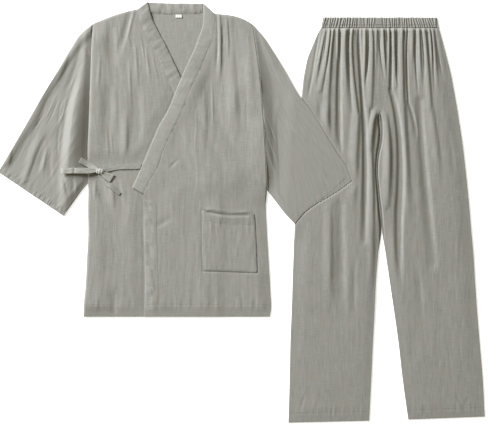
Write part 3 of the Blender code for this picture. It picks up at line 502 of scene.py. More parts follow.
def tube_mesh(outer: Array, inner: Array, flat: Array) -> ClothMesh:
    """A tube of cloth, open at both ends, from closed rings of points.

    Args:
        outer: Rings of the outer face, the last point of each the same as its first.
        inner: Rings of the inner face.
        flat: The flat cloth's own coordinates, not closed on themselves.

    Returns:
        The closed wall of the tube.
    """
    rows, around = outer.shape[:2]
    outside = np.arange(rows * (around - 1)).reshape(rows, around - 1)
    outside = np.concatenate([outside, outside[:, :1]], axis=1)
    inside = outside + outside.max() + 1
    open_out = np.arange(rows * around).reshape(rows, around)
    open_in = open_out + rows * around
    faces, flat_faces = (
        np.concatenate(
            [
                quads(a), quads(b)[:, ::-1],
                quads(np.stack([b[0], a[0]])), quads(np.stack([a[-1], b[-1]])),
            ]
        )
        for a, b in ((outside, inside), (open_out, open_in))
    )
    points = np.concatenate([outer[:, :-1].reshape(-1, 3), inner[:, :-1].reshape(-1, 3)])
    return ClothMesh(points, faces, np.tile(flat.reshape(-1, 2), (2, 1)), flat_faces)


@dataclass(frozen=True)
class Surface:
    """The upper face of a piece, for what lies or is sewn on it."""

    x: Array
    d: Array
    z: Array

    def top_at(self, x: Array, d: Array) -> Array:
        """Height of the face: the nearest grid point's, and its slope times the way to go.

        Args:
            x: The places' x.
            d: The places' d.

        Returns:
            The heights there.
        """
        x_row, x_col = np.gradient(self.x)
        d_row, d_col = np.gradient(self.d)
        z_row, z_col = np.gradient(self.z)
        size = x_col * d_row - x_row * d_col
        size = np.where(np.abs(size) < NOTHING, NOTHING, size)
        slope_x, slope_d = (
            np.clip(rise / size, -STEEPEST, STEEPEST).ravel()
            for rise in (z_col * d_row - z_row * d_col, z_row * x_col - z_col * x_row)
        )
        flat_x, flat_d, flat_z = self.x.ravel(), self.d.ravel(), self.z.ravel()
        batches = (np.array_split(values, 1 + len(x) // BATCH) for values in (x, d))
        found = np.concatenate(
            [
                np.hypot(flat_x - some_x[:, None], flat_d - some_d[:, None]).argmin(axis=1)
                for some_x, some_d in zip(*batches)
            ]
        )
        step_x, step_d = x - flat_x[found], d - flat_d[found]
        return flat_z[found] + slope_x[found] * step_x + slope_d[found] * step_d


def layer_mesh(x: Array, d: Array, high: Array | float, low: Array | float,
               flat: Array | None = None) -> tuple[ClothMesh, Surface]:
    """A closed sheet between two heights over one grid.

    Args:
        x: The grid's x.
        d: The grid's d.
        high: Height of its upper face.
        low: Height of its lower face.
        flat: The flat cloth's own coordinates, where they aren't x and d in metres.

    Returns:
        The mesh and its upper face.
    """
    over, under = (np.stack(np.broadcast_arrays(x, d, z), axis=-1) for z in (high, low))
    if flat is None:
        flat = over[..., :2] * MM
    return wall_mesh(over, under, flat), Surface(x, d, over[..., 2])


@dataclass(frozen=True)
class Placing:
    """Where the top of a garment lies, in mm from the middle of the whole set."""

    right: float
    top: float

    def world(self, points: Array) -> Array:
        """A garment's points (x, d, z in mm) in the world's metres."""
        return np.column_stack(
            [points[:, 0] + self.right, self.top - points[:, 1], points[:, 2]]
        ) * MM


@dataclass(frozen=True)
class Cut:
    """A piece's flat cut: its box in mm, its area in square mm, and how the piece is held."""

    width: float
    length: float
    area: float
    held: Held
    rests_on: tuple[str, ...] = ()


def linear(hexes: str) -> tuple[float, float, float, float]:
    """A colour as linear light with full alpha, by the sRGB curve.

    Args:
        hexes: The colour, as in #8b8a82.

    Returns:
        Red, green, blue and alpha.
    """
    parts = [int(hexes[i : i + 2], 16) / 255 for i in (1, 3, 5)]
    light = [c / 12.92 if c <= 0.04045 else ((c + 0.055) / 1.055) ** 2.4 for c in parts]
    return (light[0], light[1], light[2], 1.0)


def put(
    tree: bpy.types.NodeTree, kind: str, settings: dict[str, Any] | None = None,
    inputs: dict[Any, Any] | None = None,
) -> bpy.types.Node:
    """Adds a node with its settings and its inputs.

    Args:
        tree: The node tree that it goes into.
        kind: The node's type.
        settings: Its own properties.
        inputs: Values for its sockets; one that is another node's output is linked.

    Returns:
        The node.
    """
    node = tree.nodes.new(kind)
    for name, value in (settings or {}).items():
        setattr(node, name, value)
    for name, value in (inputs or {}).items():
        if isinstance(value, bpy.types.NodeSocket):
            tree.links.new(value, node.inputs[name])
        else:
            node.inputs[name].default_value = value
    return node


def blank_material(name: str) -> tuple[bpy.types.Material, bpy.types.NodeTree]:
    """A material with an empty node tree.

    Args:
        name: The material's name.

    Returns:
        The material and its tree.
    """
    material = bpy.data.materials.new(name)
    material.use_nodes = True
    material.node_tree.nodes.clear()
    return material, material.node_tree


@dataclass(frozen=True)
class Finish:
    """A finish whose colour runs from a shade to a bright tone along a pattern."""

    name: str
    shade: str
    bright: str
    ground: str = ""
    warm: str = ""
    tones: Pair = (0.0, 1.0)
    relief: float = 0.1
    relief_strength: float = 0.5
    roughness: float = 0.5

    def end(self, tree: bpy.types.NodeTree, pattern: bpy.types.NodeSocket,
            height: bpy.types.NodeSocket | None = None,
            patches: bpy.types.NodeSocket | None = None,
            sockets: dict[str, Any] | None = None) -> None:
        """Ends the node tree: the colour, the relief, the shader and the output.

        Args:
            tree: The node tree.
            pattern: Runs from the shade to the bright tone, past the ground where there is one.
            height: The pattern that stands up, if one does.
            patches: How much of the warm colour is mixed in, if any is.
            sockets: The shader's other inputs.
        """
        graded = put(tree, "ShaderNodeValToRGB", inputs={"Fac": pattern})
        stops = graded.color_ramp.elements
        stops[0].position, stops[0].color = self.tones[0], linear(self.shade)
        stops[1].position, stops[1].color = self.tones[1], linear(self.bright)
        if self.ground:
            stops.new(sum(self.tones) / 2).color = linear(self.ground)
        colour = graded.outputs["Color"]
        if patches:
            mixed = {0: patches, 6: colour, 7: linear(self.warm)}
            colour = put(tree, "ShaderNodeMix", {"data_type": "RGBA"}, mixed).outputs[2]
        inputs = {"Base Color": colour, "Roughness": self.roughness, **(sockets or {})}
        if height:
            relief = put(
                tree, "ShaderNodeBump", inputs={
                    "Height": height, "Strength": self.relief_strength,
                    "Distance": self.relief * MM,
                },
            )
            inputs["Normal"] = relief.outputs["Normal"]
        shader = put(tree, "ShaderNodeBsdfPrincipled", inputs=inputs)
        put(tree, "ShaderNodeOutputMaterial", inputs={"Surface": shader.outputs["BSDF"]})


@dataclass(frozen=True)
class WashedGauze(Finish):
    """Washed linen and cotton gauze: matt, with soft slubs along the warp and a faint weft.

    The eye gets a grey-green cloth that goes a little lighter and darker in long fine streaks.
    Its threads are 0.7 mm apart, too fine to show, so the weave is drawn at 1.9 mm.
    """

    name: str = "washed_linen_gauze"
    shade: str = "#8b8a82"
    ground: str = "#95948d"
    bright: str = "#9f9e99"
    warm: str = "#99938a"
    slub_width: float = 2.6
    slub_length: float = 34.0
    pick_width: float = 2.4
    pick_length: float = 20.0
    thread: float = 1.9
    mottle: float = 38.0
    tones: Pair = (0.34, 0.66)
    slub_share: float = 0.6
    pick_share: float = 0.4
    weave_tone: float = 0.012
    weave_height: float = 0.12
    warm_share: float = 0.6
    warm_patches: Pair = (0.4, 0.68)
    relief: float = 0.25
    relief_strength: float = 0.7
    roughness: float = 0.92
    ior: float = 1.5
    noise_roughness: float = 0.55
    specular: float = 0.2
    sheen: float = 0.12
    sheen_roughness: float = 0.5

    def material(self) -> bpy.types.Material:
        """The finish as a material that reads the cloth's own flat coordinates.

        Returns:
            The material.
        """
        material, tree = blank_material(self.name)
        flat = put(tree, "ShaderNodeUVMap", {"uv_map": FLAT_MAP}).outputs["UV"]
        found: dict[Any, Any] = {}
        for name, width, length, detail in (
            ("slubs", self.slub_width, self.slub_length, 2.0),
            ("picks", self.pick_length, self.pick_width, 2.0),
            ("patches", self.mottle, self.mottle, 1.0),
        ):
            scale = (1 / (width * MM), 1 / (length * MM), 1.0)
            place = put(tree, "ShaderNodeMapping", inputs={"Vector": flat, "Scale": scale})
            cells = {"Vector": place.outputs["Vector"], "Scale": 1.0, "Detail": detail}
            cells["Roughness"] = self.noise_roughness
            noise = put(tree, "ShaderNodeTexNoise", inputs=cells)
            found[name] = noise.outputs["Fac"]
        turns = math.pi / (self.thread * MM)
        threads = put(
            tree, "ShaderNodeMapping", inputs={"Vector": flat, "Scale": (turns, turns, 1.0)}
        )
        axes = put(tree, "ShaderNodeSeparateXYZ", inputs={"Vector": threads.outputs["Vector"]})
        found["x"], found["y"] = axes.outputs["X"], axes.outputs["Y"]
        for name, operation, *terms in (
            ("warp", "SINE", "x"), ("weft", "SINE", "y"), ("weave", "MULTIPLY", "warp", "weft"),
            ("tone", "MULTIPLY", "slubs", self.slub_share),
            ("tone", "MULTIPLY_ADD", "picks", self.pick_share, "tone"),
            ("tone", "MULTIPLY_ADD", "weave", self.weave_tone, "tone"),
            ("height", "MULTIPLY_ADD", "weave", self.weave_height, "tone"),
        ):
            values = {k: found.get(term, term) for k, term in enumerate(terms)}
            found[name] = put(
                tree, "ShaderNodeMath", {"operation": operation}, values
            ).outputs[0]
        share = put(
            tree, "ShaderNodeMapRange", inputs={
                "Value": found["patches"], "From Min": self.warm_patches[0],
                "From Max": self.warm_patches[1], "To Max": self.warm_share,
            },
        )
        self.end(tree, found["tone"], found["height"], share.outputs["Result"], {
            "IOR": self.ior, "Specular IOR Level": self.specular, "Sheen Weight": self.sheen,
            "Sheen Roughness": self.sheen_roughness,
        })
        return material


@dataclass(frozen=True)
class TwistedThread(Finish):
    """Polyester sewing thread, two plies twisted: a little smoother and darker than the cloth.

    Its twist is 0.5 mm long, too fine to show, so it is drawn at 1 mm.
    """

    name: str = "sewing_thread"
    shade: str = "#77746a"
    bright: str = "#96938a"
    tones: Pair = (0.35, 0.65)
    twist: float = 1.0
    roughness: float = 0.7

    def material(self) -> bpy.types.Material:
        """The finish as a material that reads the object's own coordinates.

        Returns:
            The material.
        """
        material, tree = blank_material(self.name)
        place = put(tree, "ShaderNodeTexCoord").outputs["Object"]
        plies = put(
            tree, "ShaderNodeTexNoise",
            inputs={"Vector": place, "Scale": 1 / (self.twist * MM), "Detail": 1.0},
        )
        self.end(tree, plies.outputs["Fac"], plies.outputs["Fac"])
        return material


@dataclass(frozen=True)
class WovenLabel(Finish):
    """Polyester satin label tape: near white, smoother than the gauze, with fine cross ribs.

    The ribs are 0.3 mm apart, too fine to show, so they are drawn at 1 mm.
    """

    name: str = "satin_label_tape"
    shade: str = "#d3d2cd"
    bright: str = "#f1f0ec"
    rib: float = 1.0
    waver: float = 0.4
    relief_strength: float = 0.4
    roughness: float = 0.45
    sheen: float = 0.2

    def material(self) -> bpy.types.Material:
        """The finish as a material that reads the cloth's own flat coordinates.

        Returns:
            The material.
        """
        material, tree = blank_material(self.name)
        flat = put(tree, "ShaderNodeUVMap", {"uv_map": FLAT_MAP}).outputs["UV"]
        # The wave texture draws about pi bands to each whole of its scale
        scale = 1 / (math.pi * self.rib * MM)
        ribs = put(
            tree, "ShaderNodeTexWave", {"bands_direction": "Y"},
            {"Vector": flat, "Scale": scale, "Distortion": self.waver},
        )
        self.end(
            tree, ribs.outputs["Fac"], ribs.outputs["Fac"], sockets={"Sheen Weight": self.sheen}
        )
        return material


@dataclass(frozen=True)
class PaintedFloor(Finish):
    """White emulsion paint, rolled on: matt, near white, with hardly a grain."""

    name: str = "white_floor_paint"
    shade: str = "#fafafa"
    bright: str = "#ffffff"
    grain: float = 90.0
    roughness: float = 0.9
    specular: float = 0.1
    glow: float = 0.6

    def material(self) -> bpy.types.Material:
        """The finish as a material that reads the object's own coordinates.

        Returns:
            The material.
        """
        material, tree = blank_material(self.name)
        place = put(tree, "ShaderNodeTexCoord").outputs["Object"]
        clouds = put(
            tree, "ShaderNodeTexNoise",
            inputs={"Vector": place, "Scale": 1 / (self.grain * MM), "Detail": 2.0},
        )
        self.end(tree, clouds.outputs["Fac"], sockets={
            "Specular IOR Level": self.specular, "Emission Color": linear(self.bright),
            "Emission Strength": self.glow,
        })
        return material


def new_object(name: str, shape: ClothMesh, placing: Placing,
               material: bpy.types.Material) -> bpy.types.Object:
    """A piece from a closed mesh, its faces turned outwards.

    The volume that the faces hold, the sum of each triangle's against the origin, is above zero
    when they point outwards; otherwise every face is turned round.

    Args:
        name: The piece's name.
        shape: Its mesh in a garment's mm.
        placing: Where that garment lies.
        material: Its finish.

    Returns:
        The new object.
    """
    points = placing.world(shape.points)
    faces, flat_faces = shape.faces, shape.flat_faces
    a, b, c, e = (points[faces[:, k]] for k in range(4))
    volume = (a * np.cross(b, c)).sum() + (a * np.cross(c, e)).sum()
    if volume < 0:
        faces, flat_faces = faces[:, ::-1], flat_faces[:, ::-1]
    mesh = bpy.data.meshes.new(name)
    mesh.vertices.add(len(points))
    mesh.vertices.foreach_set("co", points.ravel())
    mesh.loops.add(faces.size)
    mesh.loops.foreach_set("vertex_index", faces.ravel().astype(np.int32))
    mesh.polygons.add(len(faces))
    mesh.polygons.foreach_set("loop_start", np.arange(0, faces.size, 4, dtype=np.int32))
    mesh.update(calc_edges=True)
    layer = mesh.uv_layers.new(name=FLAT_MAP)
    layer.data.foreach_set("uv", shape.flat[flat_faces].astype(np.float32).ravel())
    mesh.polygons.foreach_set("use_smooth", np.ones(len(faces), bool))
    mesh.materials.append(material)
    piece = bpy.data.objects.new(name, mesh)
    bpy.context.scene.collection.objects.link(piece)
    return piece


def half_surface(piece: bpy.types.Object) -> float:
    """Half of a closed piece's surface, which is about the cloth in it.

    Args:
        piece: The piece.

    Returns:
        Its area in square mm.
    """
    areas = np.empty(len(piece.data.polygons), np.float32)
    piece.data.polygons.foreach_get("area", areas)
    return float(areas.sum()) / (2 * MM * MM)


@dataclass(frozen=True)
class Stitching:
    """Lockstitch: short runs of thread that stand a little proud of the cloth.

    Real thread is 0.25 mm thick in stitches 2.5 mm long; both are drawn larger, so that they show.
    """

    pitch: float = 4.0
    length: float = 2.9
    radius: float = 0.32
    sides: int = 4
    rings: tuple[float, ...] = (-1.0, -0.7, 0.7, 1.0)
    ring_radii: tuple[float, ...] = (0.4, 1.0, 1.0, 0.4)
    lift: float = 0.35

    def along(self, route: Array, surface: Surface) -> Array:
        """Stitches along a route on a surface.

        Each is a spindle: rings of four sides round the line between its two ends, thinner at
        the ends, where one flat face closes it.

        Args:
            route: Places (x, d) along the seam.
            surface: What it is sewn into.

        Returns:
            The spindles' points, stitches by rings by sides by 3.
        """
        run = np.concatenate([[0.0], np.cumsum(np.hypot(*np.diff(route, axis=0).T))])
        count = max(1, int(run[-1] / self.pitch))
        middle = (np.arange(count) + 0.5) * run[-1] / count
        ends = []
        for side in (-0.5, 0.5):
            at = np.clip(middle + side * self.length, 0, run[-1])
            x, d = np.interp(at, run, route[:, 0]), np.interp(at, run, route[:, 1])
            ends.append(np.column_stack([x, d, surface.top_at(x, d)]))
        centre, half = (ends[0] + ends[1]) / 2, (ends[1] - ends[0]) / 2
        centre[:, 2] += self.lift * self.radius
        side_way = np.column_stack([-half[:, 1], half[:, 0], 0 * middle])
        side_way /= np.linalg.norm(side_way, axis=1)[:, None] + NOTHING
        up_way = np.array([0.0, 0.0, 1.0])
        reach, thick = np.array(self.rings), np.array(self.ring_radii) * self.radius
        turn = np.linspace(0, 2 * np.pi, self.sides + 1)[:-1]
        ring = (
            np.cos(turn)[None, :, None] * side_way[:, None, None, :]
            + np.sin(turn)[None, :, None] * up_way
        )
        return (
            centre[:, None, None, :]
            + reach[None, :, None, None] * half[:, None, None, :]
            + thick[None, :, None, None] * ring
        )

    def piece(self, name: str, parts: Sequence[Array], placing: Placing, slot: Slot,
              material: bpy.types.Material) -> bpy.types.Object:
        """All the stitches of a garment as one piece.

        Args:
            name: The piece's name.
            parts: Spindles from along().
            placing: Where the garment lies.
            slot: Not used.
            material: The thread's finish.

        Returns:
            The piece, riding on the set's one body.
        """
        points = np.concatenate(parts)
        count, rings, sides = points.shape[:3]
        index = np.arange(count * rings * sides).reshape(count, rings, sides)
        ring = np.concatenate([index, index[:, :, :1]], axis=2)
        shell = np.stack(
            [ring[:, :-1, :-1], ring[:, :-1, 1:], ring[:, 1:, 1:], ring[:, 1:, :-1]], -1
        ).reshape(-1, 4)
        faces = np.concatenate([shell, index[:, 0, ::-1], index[:, -1]])
        points = points.reshape(-1, 3)
        closed = ClothMesh(points, faces, points[:, :2] * MM, faces)
        piece = new_object(name, closed, placing, material)
        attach(piece, "root")
        LOG.info("%s: %d stitches", name, count)
        return piece

    def sew(self, seams: dict[str, Sequence[tuple[Array, Surface]]], placing: Placing,
            slot: Slot, material: bpy.types.Material) -> dict[str, bpy.types.Object]:
        """Sews a garment's seams.

        Args:
            seams: Routes and what each is sewn into, by the end of the piece's name.
            placing: Where the garment lies.
            slot: The material slot of its cloth.
            material: The thread's finish.

        Returns:
            The pieces of stitching, by the same ends of their names.
        """
        return {
            key: self.piece(
                f"stitching_{key}", [self.along(route, top) for route, top in routes], placing,
                slot, material,
            )
            for key, routes in seams.items()
        }


def add_cloth(name: str, node: str, shape: ClothMesh, placing: Placing,
              material: bpy.types.Material, cut: Cut) -> bpy.types.Object:
    """A piece of cloth that stands for a CAD node, which it hides.

    Args:
        name: The piece's name.
        node: The CAD node that it replaces.
        shape: Its mesh in a garment's mm.
        placing: Where that garment lies.
        material: Its finish.
        cut: Its flat cut.

    Returns:
        The piece.
    """
    piece = new_object(name, shape, placing, material)
    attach(piece, "root")
    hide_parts(node)
    LOG.info(
        "%s: %d faces, %.0f cm2 of cloth, cut %.0f cm2", name, len(piece.data.polygons),
        half_surface(piece) / 100, cut.area / 100,
    )
    return piece


class Part(NamedTuple):
    """A piece of cloth to be added: what Cut and add_cloth need, and the stitching on it."""

    name: str
    node: str
    shape: ClothMesh
    size: Triple
    held: Held = Held.LAID
    rests_on: tuple[str, ...] = ()
    sewn: str | None = None

    def add(self, placing: Placing, slot: Slot, material: bpy.types.Material,
            threads: dict[str, bpy.types.Object]) -> None:
        """Adds the piece.

        Args:
            placing: Where its garment lies.
            slot: Not used.
            material: Its finish.
            threads: Not used.
        """
        cut = Cut(*self.size, self.held, self.rests_on)
        add_cloth(self.name, self.node, self.shape, placing, material, cut)


@dataclass(frozen=True)
class Crinkle:
    """The small unevenness of washed gauze: long soft pleats along the grain, at three sizes.

    Its height is the sum of three stretched random fields: broad swells, streaks a few mm apart
    that run on for a hand's width, and finer ones between them.
    """

    swell: float = 1.0
    streak: float = 0.24
    fine: float = 0.12
    swell_cell: Pair = (38.0, 100.0)
    streak_cell: Pair = (6.5, 85.0)
    fine_cell: Pair = (3.6, 34.0)
    drift: float = 0.9
    drift_cell: Pair = (90.0, 60.0)
    drift_seed: int = 7

    def height(self, across: Array, along: Array, seed: int) -> Array:
        """The fields' sum over the cloth.

        Args:
            across: Way across the grain, in mm.
            along: Way along the grain, in mm.
            seed: Picks the fields of one piece.

        Returns:
            Heights in mm.
        """
        total = np.zeros(np.broadcast(across, along).shape)
        cells = (self.swell_cell, self.streak_cell, self.fine_cell)
        for k, (size, cell) in enumerate(zip((self.swell, self.streak, self.fine), cells)):
            drift = self.drift * lattice(
                across / self.drift_cell[0], along / self.drift_cell[1], seed + self.drift_seed * k
            )
            total += size * lattice(across / cell[0] + drift, along / cell[1], seed + k)
        return total

    def pucker(self, from_seam: Array, along: Array, reach: float, pitch: float,
               size: float, seed: int) -> Array:
        """Small puckers that a row of stitching draws into the cloth beside it.

        Args:
            from_seam: Way from the seam, in mm.
            along: Way along it.
            reach: How far the puckers run out.
            pitch: How far apart they are, about.
            size: Their height.
            seed: Picks the field.

        Returns:
            Heights in mm, fading away from the seam.
        """
        fade = 1 - ramp(np.abs(from_seam), 0.2 * reach, reach)
        return size * fade * lattice(along / pitch, np.abs(from_seam) / (1.3 * reach), seed)


@dataclass(frozen=True)
class Hem:
    """A hem's relief: how high its doubled cloth is, its groove and its puckers."""

    doubled: float = 0.5
    groove: float = 0.75
    groove_width: float = 2.6
    step: Pair = (1.0, 2.5)
    pucker: float = 0.5
    pucker_pitch: float = 5.5
    pucker_reach: float = 0.9


def hem_relief(from_edge: Array, depth: float, along: Array, crinkle: Crinkle, seed: int) -> Array:
    """A hem: doubled cloth to its row of stitching, a groove there, and puckers either side.

    Args:
        from_edge: Way from the edge, in mm.
        depth: Where the row of stitching is.
        along: Way along the edge.
        crinkle: The cloth's unevenness.
        seed: Picks its puckers.

    Returns:
        Heights in mm.
    """
    hem = Hem()
    doubled = hem.doubled * (1 - ramp(from_edge, depth - hem.step[0], depth + hem.step[1]))
    groove = -hem.groove * bump(from_edge, depth, hem.groove_width)
    reach = hem.pucker_reach * depth
    return doubled + groove + crinkle.pucker(
        from_edge - depth, along, reach, hem.pucker_pitch, hem.pucker, seed
    )


JACKET_AT = Placing(-152.4, 504.5)
TROUSERS_AT = Placing(332.4, 467.5)
TROUSERS_IN_JACKET = (TROUSERS_AT.right - JACKET_AT.right, JACKET_AT.top - TROUSERS_AT.top)

SIDE_RIGHT = tuple(Edge(*row) for row in (
    (53, -204), (88, -206.5), (194, -210.5), (293, -214), (358, -216.5), (400, -215.5),
    (435, -215), (508, -216), (554, -215.5), (617, -218.5), (689, -222.5), (724, -226),
    (755, -226),
))
SIDE_LEFT = tuple(Edge(*row) for row in (
    (55, 180), (110, 187.5), (165, 195), (224, 201), (290, 206), (354, 210), (410, 212.5),
    (452, 213.5), (490, 211), (540, 213), (617, 217.5), (699, 222), (740, 223), (755, 220),
))
# Seam of the under collar, then the hidden front edge under the other front
SEAM_UNDER = tuple(Edge(*row) for row in (
    (17, -95.5), (37, -92.5), (60, -86.5), (82, -75.5), (110, -61), (144, -44), (194, -20.5),
    (254, 8), (332, 46.5), (408, 83), (450, 84), (755, 84),
))
# Seam of the over collar, then the front edge that shows
SEAM_OVER = tuple(Edge(*row) for row in (
    (27, 86), (40, 90), (58, 89), (81, 86.5), (100, 80.5), (128, 68), (160, 54), (193, 38.5),
    (231, 22), (272, 5.5), (309, -13.5), (361, -36), (403, -50.5), (433, -68.5), (460, -82.5),
    (500, -83.5), (532, -82.5), (617, -80), (698, -79), (755, -81),
))
# Edge of whatever lies over the under front, from where the two collars cross to the hem
COVER_EDGE = tuple(Edge(*row) for row in (
    (221, -8), (259, -23.5), (292, -43), (344, -66), (385, -83.5), (417, -97), (440, -109),
    (462, -92), (475, -84.5), (532, -83), (755, -81),
))
FRONT_RIGHT_SECTIONS = front_sections((
    (-95.5, 17, 53, -4), (-92.5, 37, 80, -2), (-86.5, 60, 107), (-75.5, 82, 135), (-61, 110, 165),
    (-44, 144, 197), (-20.5, 194, 240), (-4, 228, 275), (17, 272, 310), (46.5, 332, 350),
    (70, 380, 390), (83, 412, 420), (84, 450, 450), (84, 500, 500), (84, 560, 560),
    (84, 620, 620), (84, 690, 690), (84, 735, 735), (84, 755, 755),
), seam_left=False, collar_end=400)
FRONT_LEFT_SECTIONS = front_sections((
    (86, 27, 55, -8, 0.6, 6), (90, 40, 85, -4, 0.6), (89, 58, 118), (80.5, 100, 150),
    (68, 128, 180), (54, 160, 212), (38.5, 193, 244), (22, 231, 276), (5.5, 272, 312),
    (-13.5, 309, 345), (-36, 361, 385), (-50.5, 403, 420), (-68.5, 433, 440), (-82.5, 462, 462),
    (-83.5, 500, 500), (-82, 560, 560), (-80, 620, 620), (-79, 690, 690), (-80.5, 735, 735),
    (-81, 755, 755),
), seam_left=True, collar_end=450)
SLEEVE_RIGHT_SECTIONS = tuple(Section(*row) for row in (
    (-205, 53, -215, 435), (-228, 71, -219, 439), (-258.5, 114, -225, 446),
    (-290, 167.5, -232, 454), (-323, 221.5, -240, 465), (-359, 285, -250, 479),
    (-395, 346.5, -262, 496), (-431, 408, -274, 513.5),
))
SLEEVE_LEFT_SECTIONS = tuple(Section(*row) for row in (
    (180, 55, 213.5, 452), (204, 82.5, 219, 459), (229.5, 120, 226, 468), (259, 168, 234, 478),
    (289, 221, 243, 490), (321, 264, 252, 502), (352.5, 316, 261, 512), (382.5, 364.5, 269, 521),
    (405, 398, 275, 527, -5, 0.75), (416, 429, 280, 532, -11, 0.75),
))
COLLAR_RIGHT_STRIP = tuple(Strip(*row) for row in (
    (-72.5, 0, 3.8, -95.5, 17, 3.0), (-68.5, 17, 5.0, -92.5, 37, 3.2),
    (-60, 44, 2.6, -86.5, 60, 3.0), (-48, 67.5, 1.6, -75.5, 82, 3.0),
    (-33, 96, 1.45, -61, 110, 3.0), (-16.5, 129.5, 1.5, -44, 144, 3.0),
    (7.5, 180.5, 1.7, -20.5, 194, 3.0), (36, 240, 1.7, 8, 254, 3.0),
    (74.5, 318, 1.7, 46.5, 332, 3.0), (110.5, 393.5, 1.7, 83, 408, 3.0),
))
COLLAR_LEFT_STRIP = tuple(Strip(*row) for row in (
    (60.5, 3, 1.5, 86, 27, 3.2), (62, 18, 1.5, 90, 40, 3.2), (61, 36, 1.5, 89, 58, 3.2),
    (58, 62, 1.7, 86.5, 81, 3.3), (49, 86, 2.2, 80.5, 100, 3.6), (38.5, 115, 3.6, 68, 128, 4.0),
    (24, 146, 5.5, 54, 160, 4.9), (8.5, 180.5, 5.6, 38.5, 193, 7.3), (-7, 219, 5.6, 22, 231, 7.4),
    (-23.5, 259, 5.3, 5.5, 272, 7.3), (-43, 292.5, 3.8, -13.5, 309, 5.8),
    (-66, 344, 3.1, -36, 361, 4.6), (-83.5, 385, 3.0, -50.5, 403, 4.5),
    (-97, 417.5, 3.0, -68.5, 433, 4.5), (-109.5, 445.5, 3.0, -82.5, 460.5, 4.5),
))
COLLAR_BACK_STRIP = tuple(Strip(*row) for row in (
    (-76, 1.5, 0.8, -69.5, 24.5, 0.8), (-60, 1.2, 0.6, -57, 26.2, 0.6),
    (-45, 2, 0.0, -44, 28, 0.0), (-15, 3, 0.0, -12, 29, 0.0), (20, 3, 0.0, 22, 28, 0.0),
    (46, 3.4, 0.1, 48, 27, 0.1), (60, 3.5, 0.3, 61, 26, 0.3),
))
# The back's neckline, from one shoulder point to the other: d at each x
NECKLINE = (
    (-95.5, 17.0), (-66.0, 25.2), (-44.0, 28.6), (-12.0, 29.6), (22.0, 28.6), (60.0, 26.6),
    (86.0, 27.0),
)
POCKET_SECTIONS = tuple(Section(*row) for row in (
    (56.5, 499.5, 184, 509, 3, 0.5), (57, 508, 184.5, 517, 2, 0.5), (57.5, 520, 185.5, 528),
    (58, 560, 187.5, 567), (59, 605, 189.5, 612), (59.5, 645, 191, 650),
))

FRONT_RIGHT_FOLDS: Folds = (
    (-104, 20, -114, 58, -137, 140, 5, 8, 1.6, 1.2, 0.4),
    (-114, 30, -127, 80, -149, 150, 13, 15, -1.2, -1.9, -0.6),
    (-98, 24, -101, 36, -105, 50, 3, 3, -0.6, -0.6, -0.1),
    (-90, 396, -103, 422, -111, 442, 5, 6, -0.5, -1.2, -1.0),
    (-113, 82, -108.5, 104, -104, 129, 6, 7, -0.2, -0.7, -0.1),
    (-88, 88, -82.5, 120, -77, 156, 3, 3.5, 0.3, 0.8, 0.2),
    (-85, 76, -82, 94, -77, 120, 3, 3.5, -0.3, -0.8, -0.2),
    (-222, 500, -226, 620, -230, 757, 110, 120, 2.0, 4.4, 4.0),
    (-101.5, 108, -98, 160, -94.5, 232, 5, 7, 0.3, 0.9, 0.2),
    (-76, 112, -71, 152, -64, 214, 4, 6, 0.3, 1.0, 0.2),
    (-64, 108, -53.5, 160, -43, 214, 4, 5, 0.4, 0.8, 0.2),
    (-36, 149, -29.5, 187, -23, 232, 4, 5, 0.4, 0.7, 0.2),
    (-116, 140, -114, 200, -112, 262, 5, 6, 0.2, 0.7, 0.1),
    (-160, 66, -157, 115, -152, 175, 20, 24, -1.4, -2.2, -0.4),
    (-98, 205, -96, 295, -102, 376, 24, 28, -0.4, -2.6, -0.8),
    (-168, 195, -167, 271, -172, 352, 22, 24, -0.4, -2.4, -0.5),
    (-125, 270, -125, 335, -130.5, 386, 12, 14, 0.4, 1.9, 0.9),
    (-198, 425, -199, 470, -203, 530, 7, 9, 1.8, 1.6, 0.2),
    (-184, 424, -180, 456, -160, 520, 13, 19, -2.6, -3.4, -0.3),
    (-161, 432, -156, 463, -152, 530, 8, 12, 1.4, 1.7, 0.3),
    (-142, 428, -138, 460, -128, 520, 8, 12, -0.8, -1.2, -0.2),
    (-186, 130, -189, 180, -190, 232, 6, 7, 0.2, 0.8, 0.1),
    (-170, 300, -168, 345, -166, 385, 4, 5, 0.2, 0.8, 0.1),
    (-159, 310, -158, 340, -154, 380, 4, 4, 0.2, 0.7, 0.1),
    (-152, 690, -152, 725, -152, 757, 12, 12, -0.3, -1.4, -1.6),
    (-206, 560, -200, 620, -206, 700, 10, 14, 0.2, 0.8, 0.2),
)
FRONT_LEFT_FOLDS: Folds = (
    (94, 30, 95.5, 106, 92, 168, 5, 6, -1.8, -2.0, -0.2),
    (99.5, 30, 101.5, 134, 99, 207, 6.5, 8, 2.2, 2.3, 0.2),
    (108, 60, 109, 90, 108, 115, 5, 6, -0.8, -1.1, -0.1),
    (117, 45, 121, 110, 122, 200, 5, 7, 0.6, 1.0, 0.1),
    (127, 120, 134, 235, 137, 340, 18, 22, 0.5, 2.4, 0.3),
    (165, 80, 176, 200, 180, 320, 18, 22, 0.4, 1.6, 0.3),
    (60, 200, 62, 300, 48, 400, 16, 20, 0.3, 1.2, 0.2),
    (-18, 519, -38, 532, -60, 546, 12, 13, -0.3, -1.0, -0.3),
    (-20.5, 397, -7.5, 385, 5, 372, 6, 7, -0.3, -0.8, -0.2),
    (58, 232, 56, 300, 50, 360, 3, 4, 0.3, 0.8, 0.1),
    (44, 260, 44, 320, 38, 392, 3, 4, 0.2, 0.7, 0.1),
    (82, 190, 84, 262, 84, 330, 3, 4, 0.3, 0.8, 0.1),
)
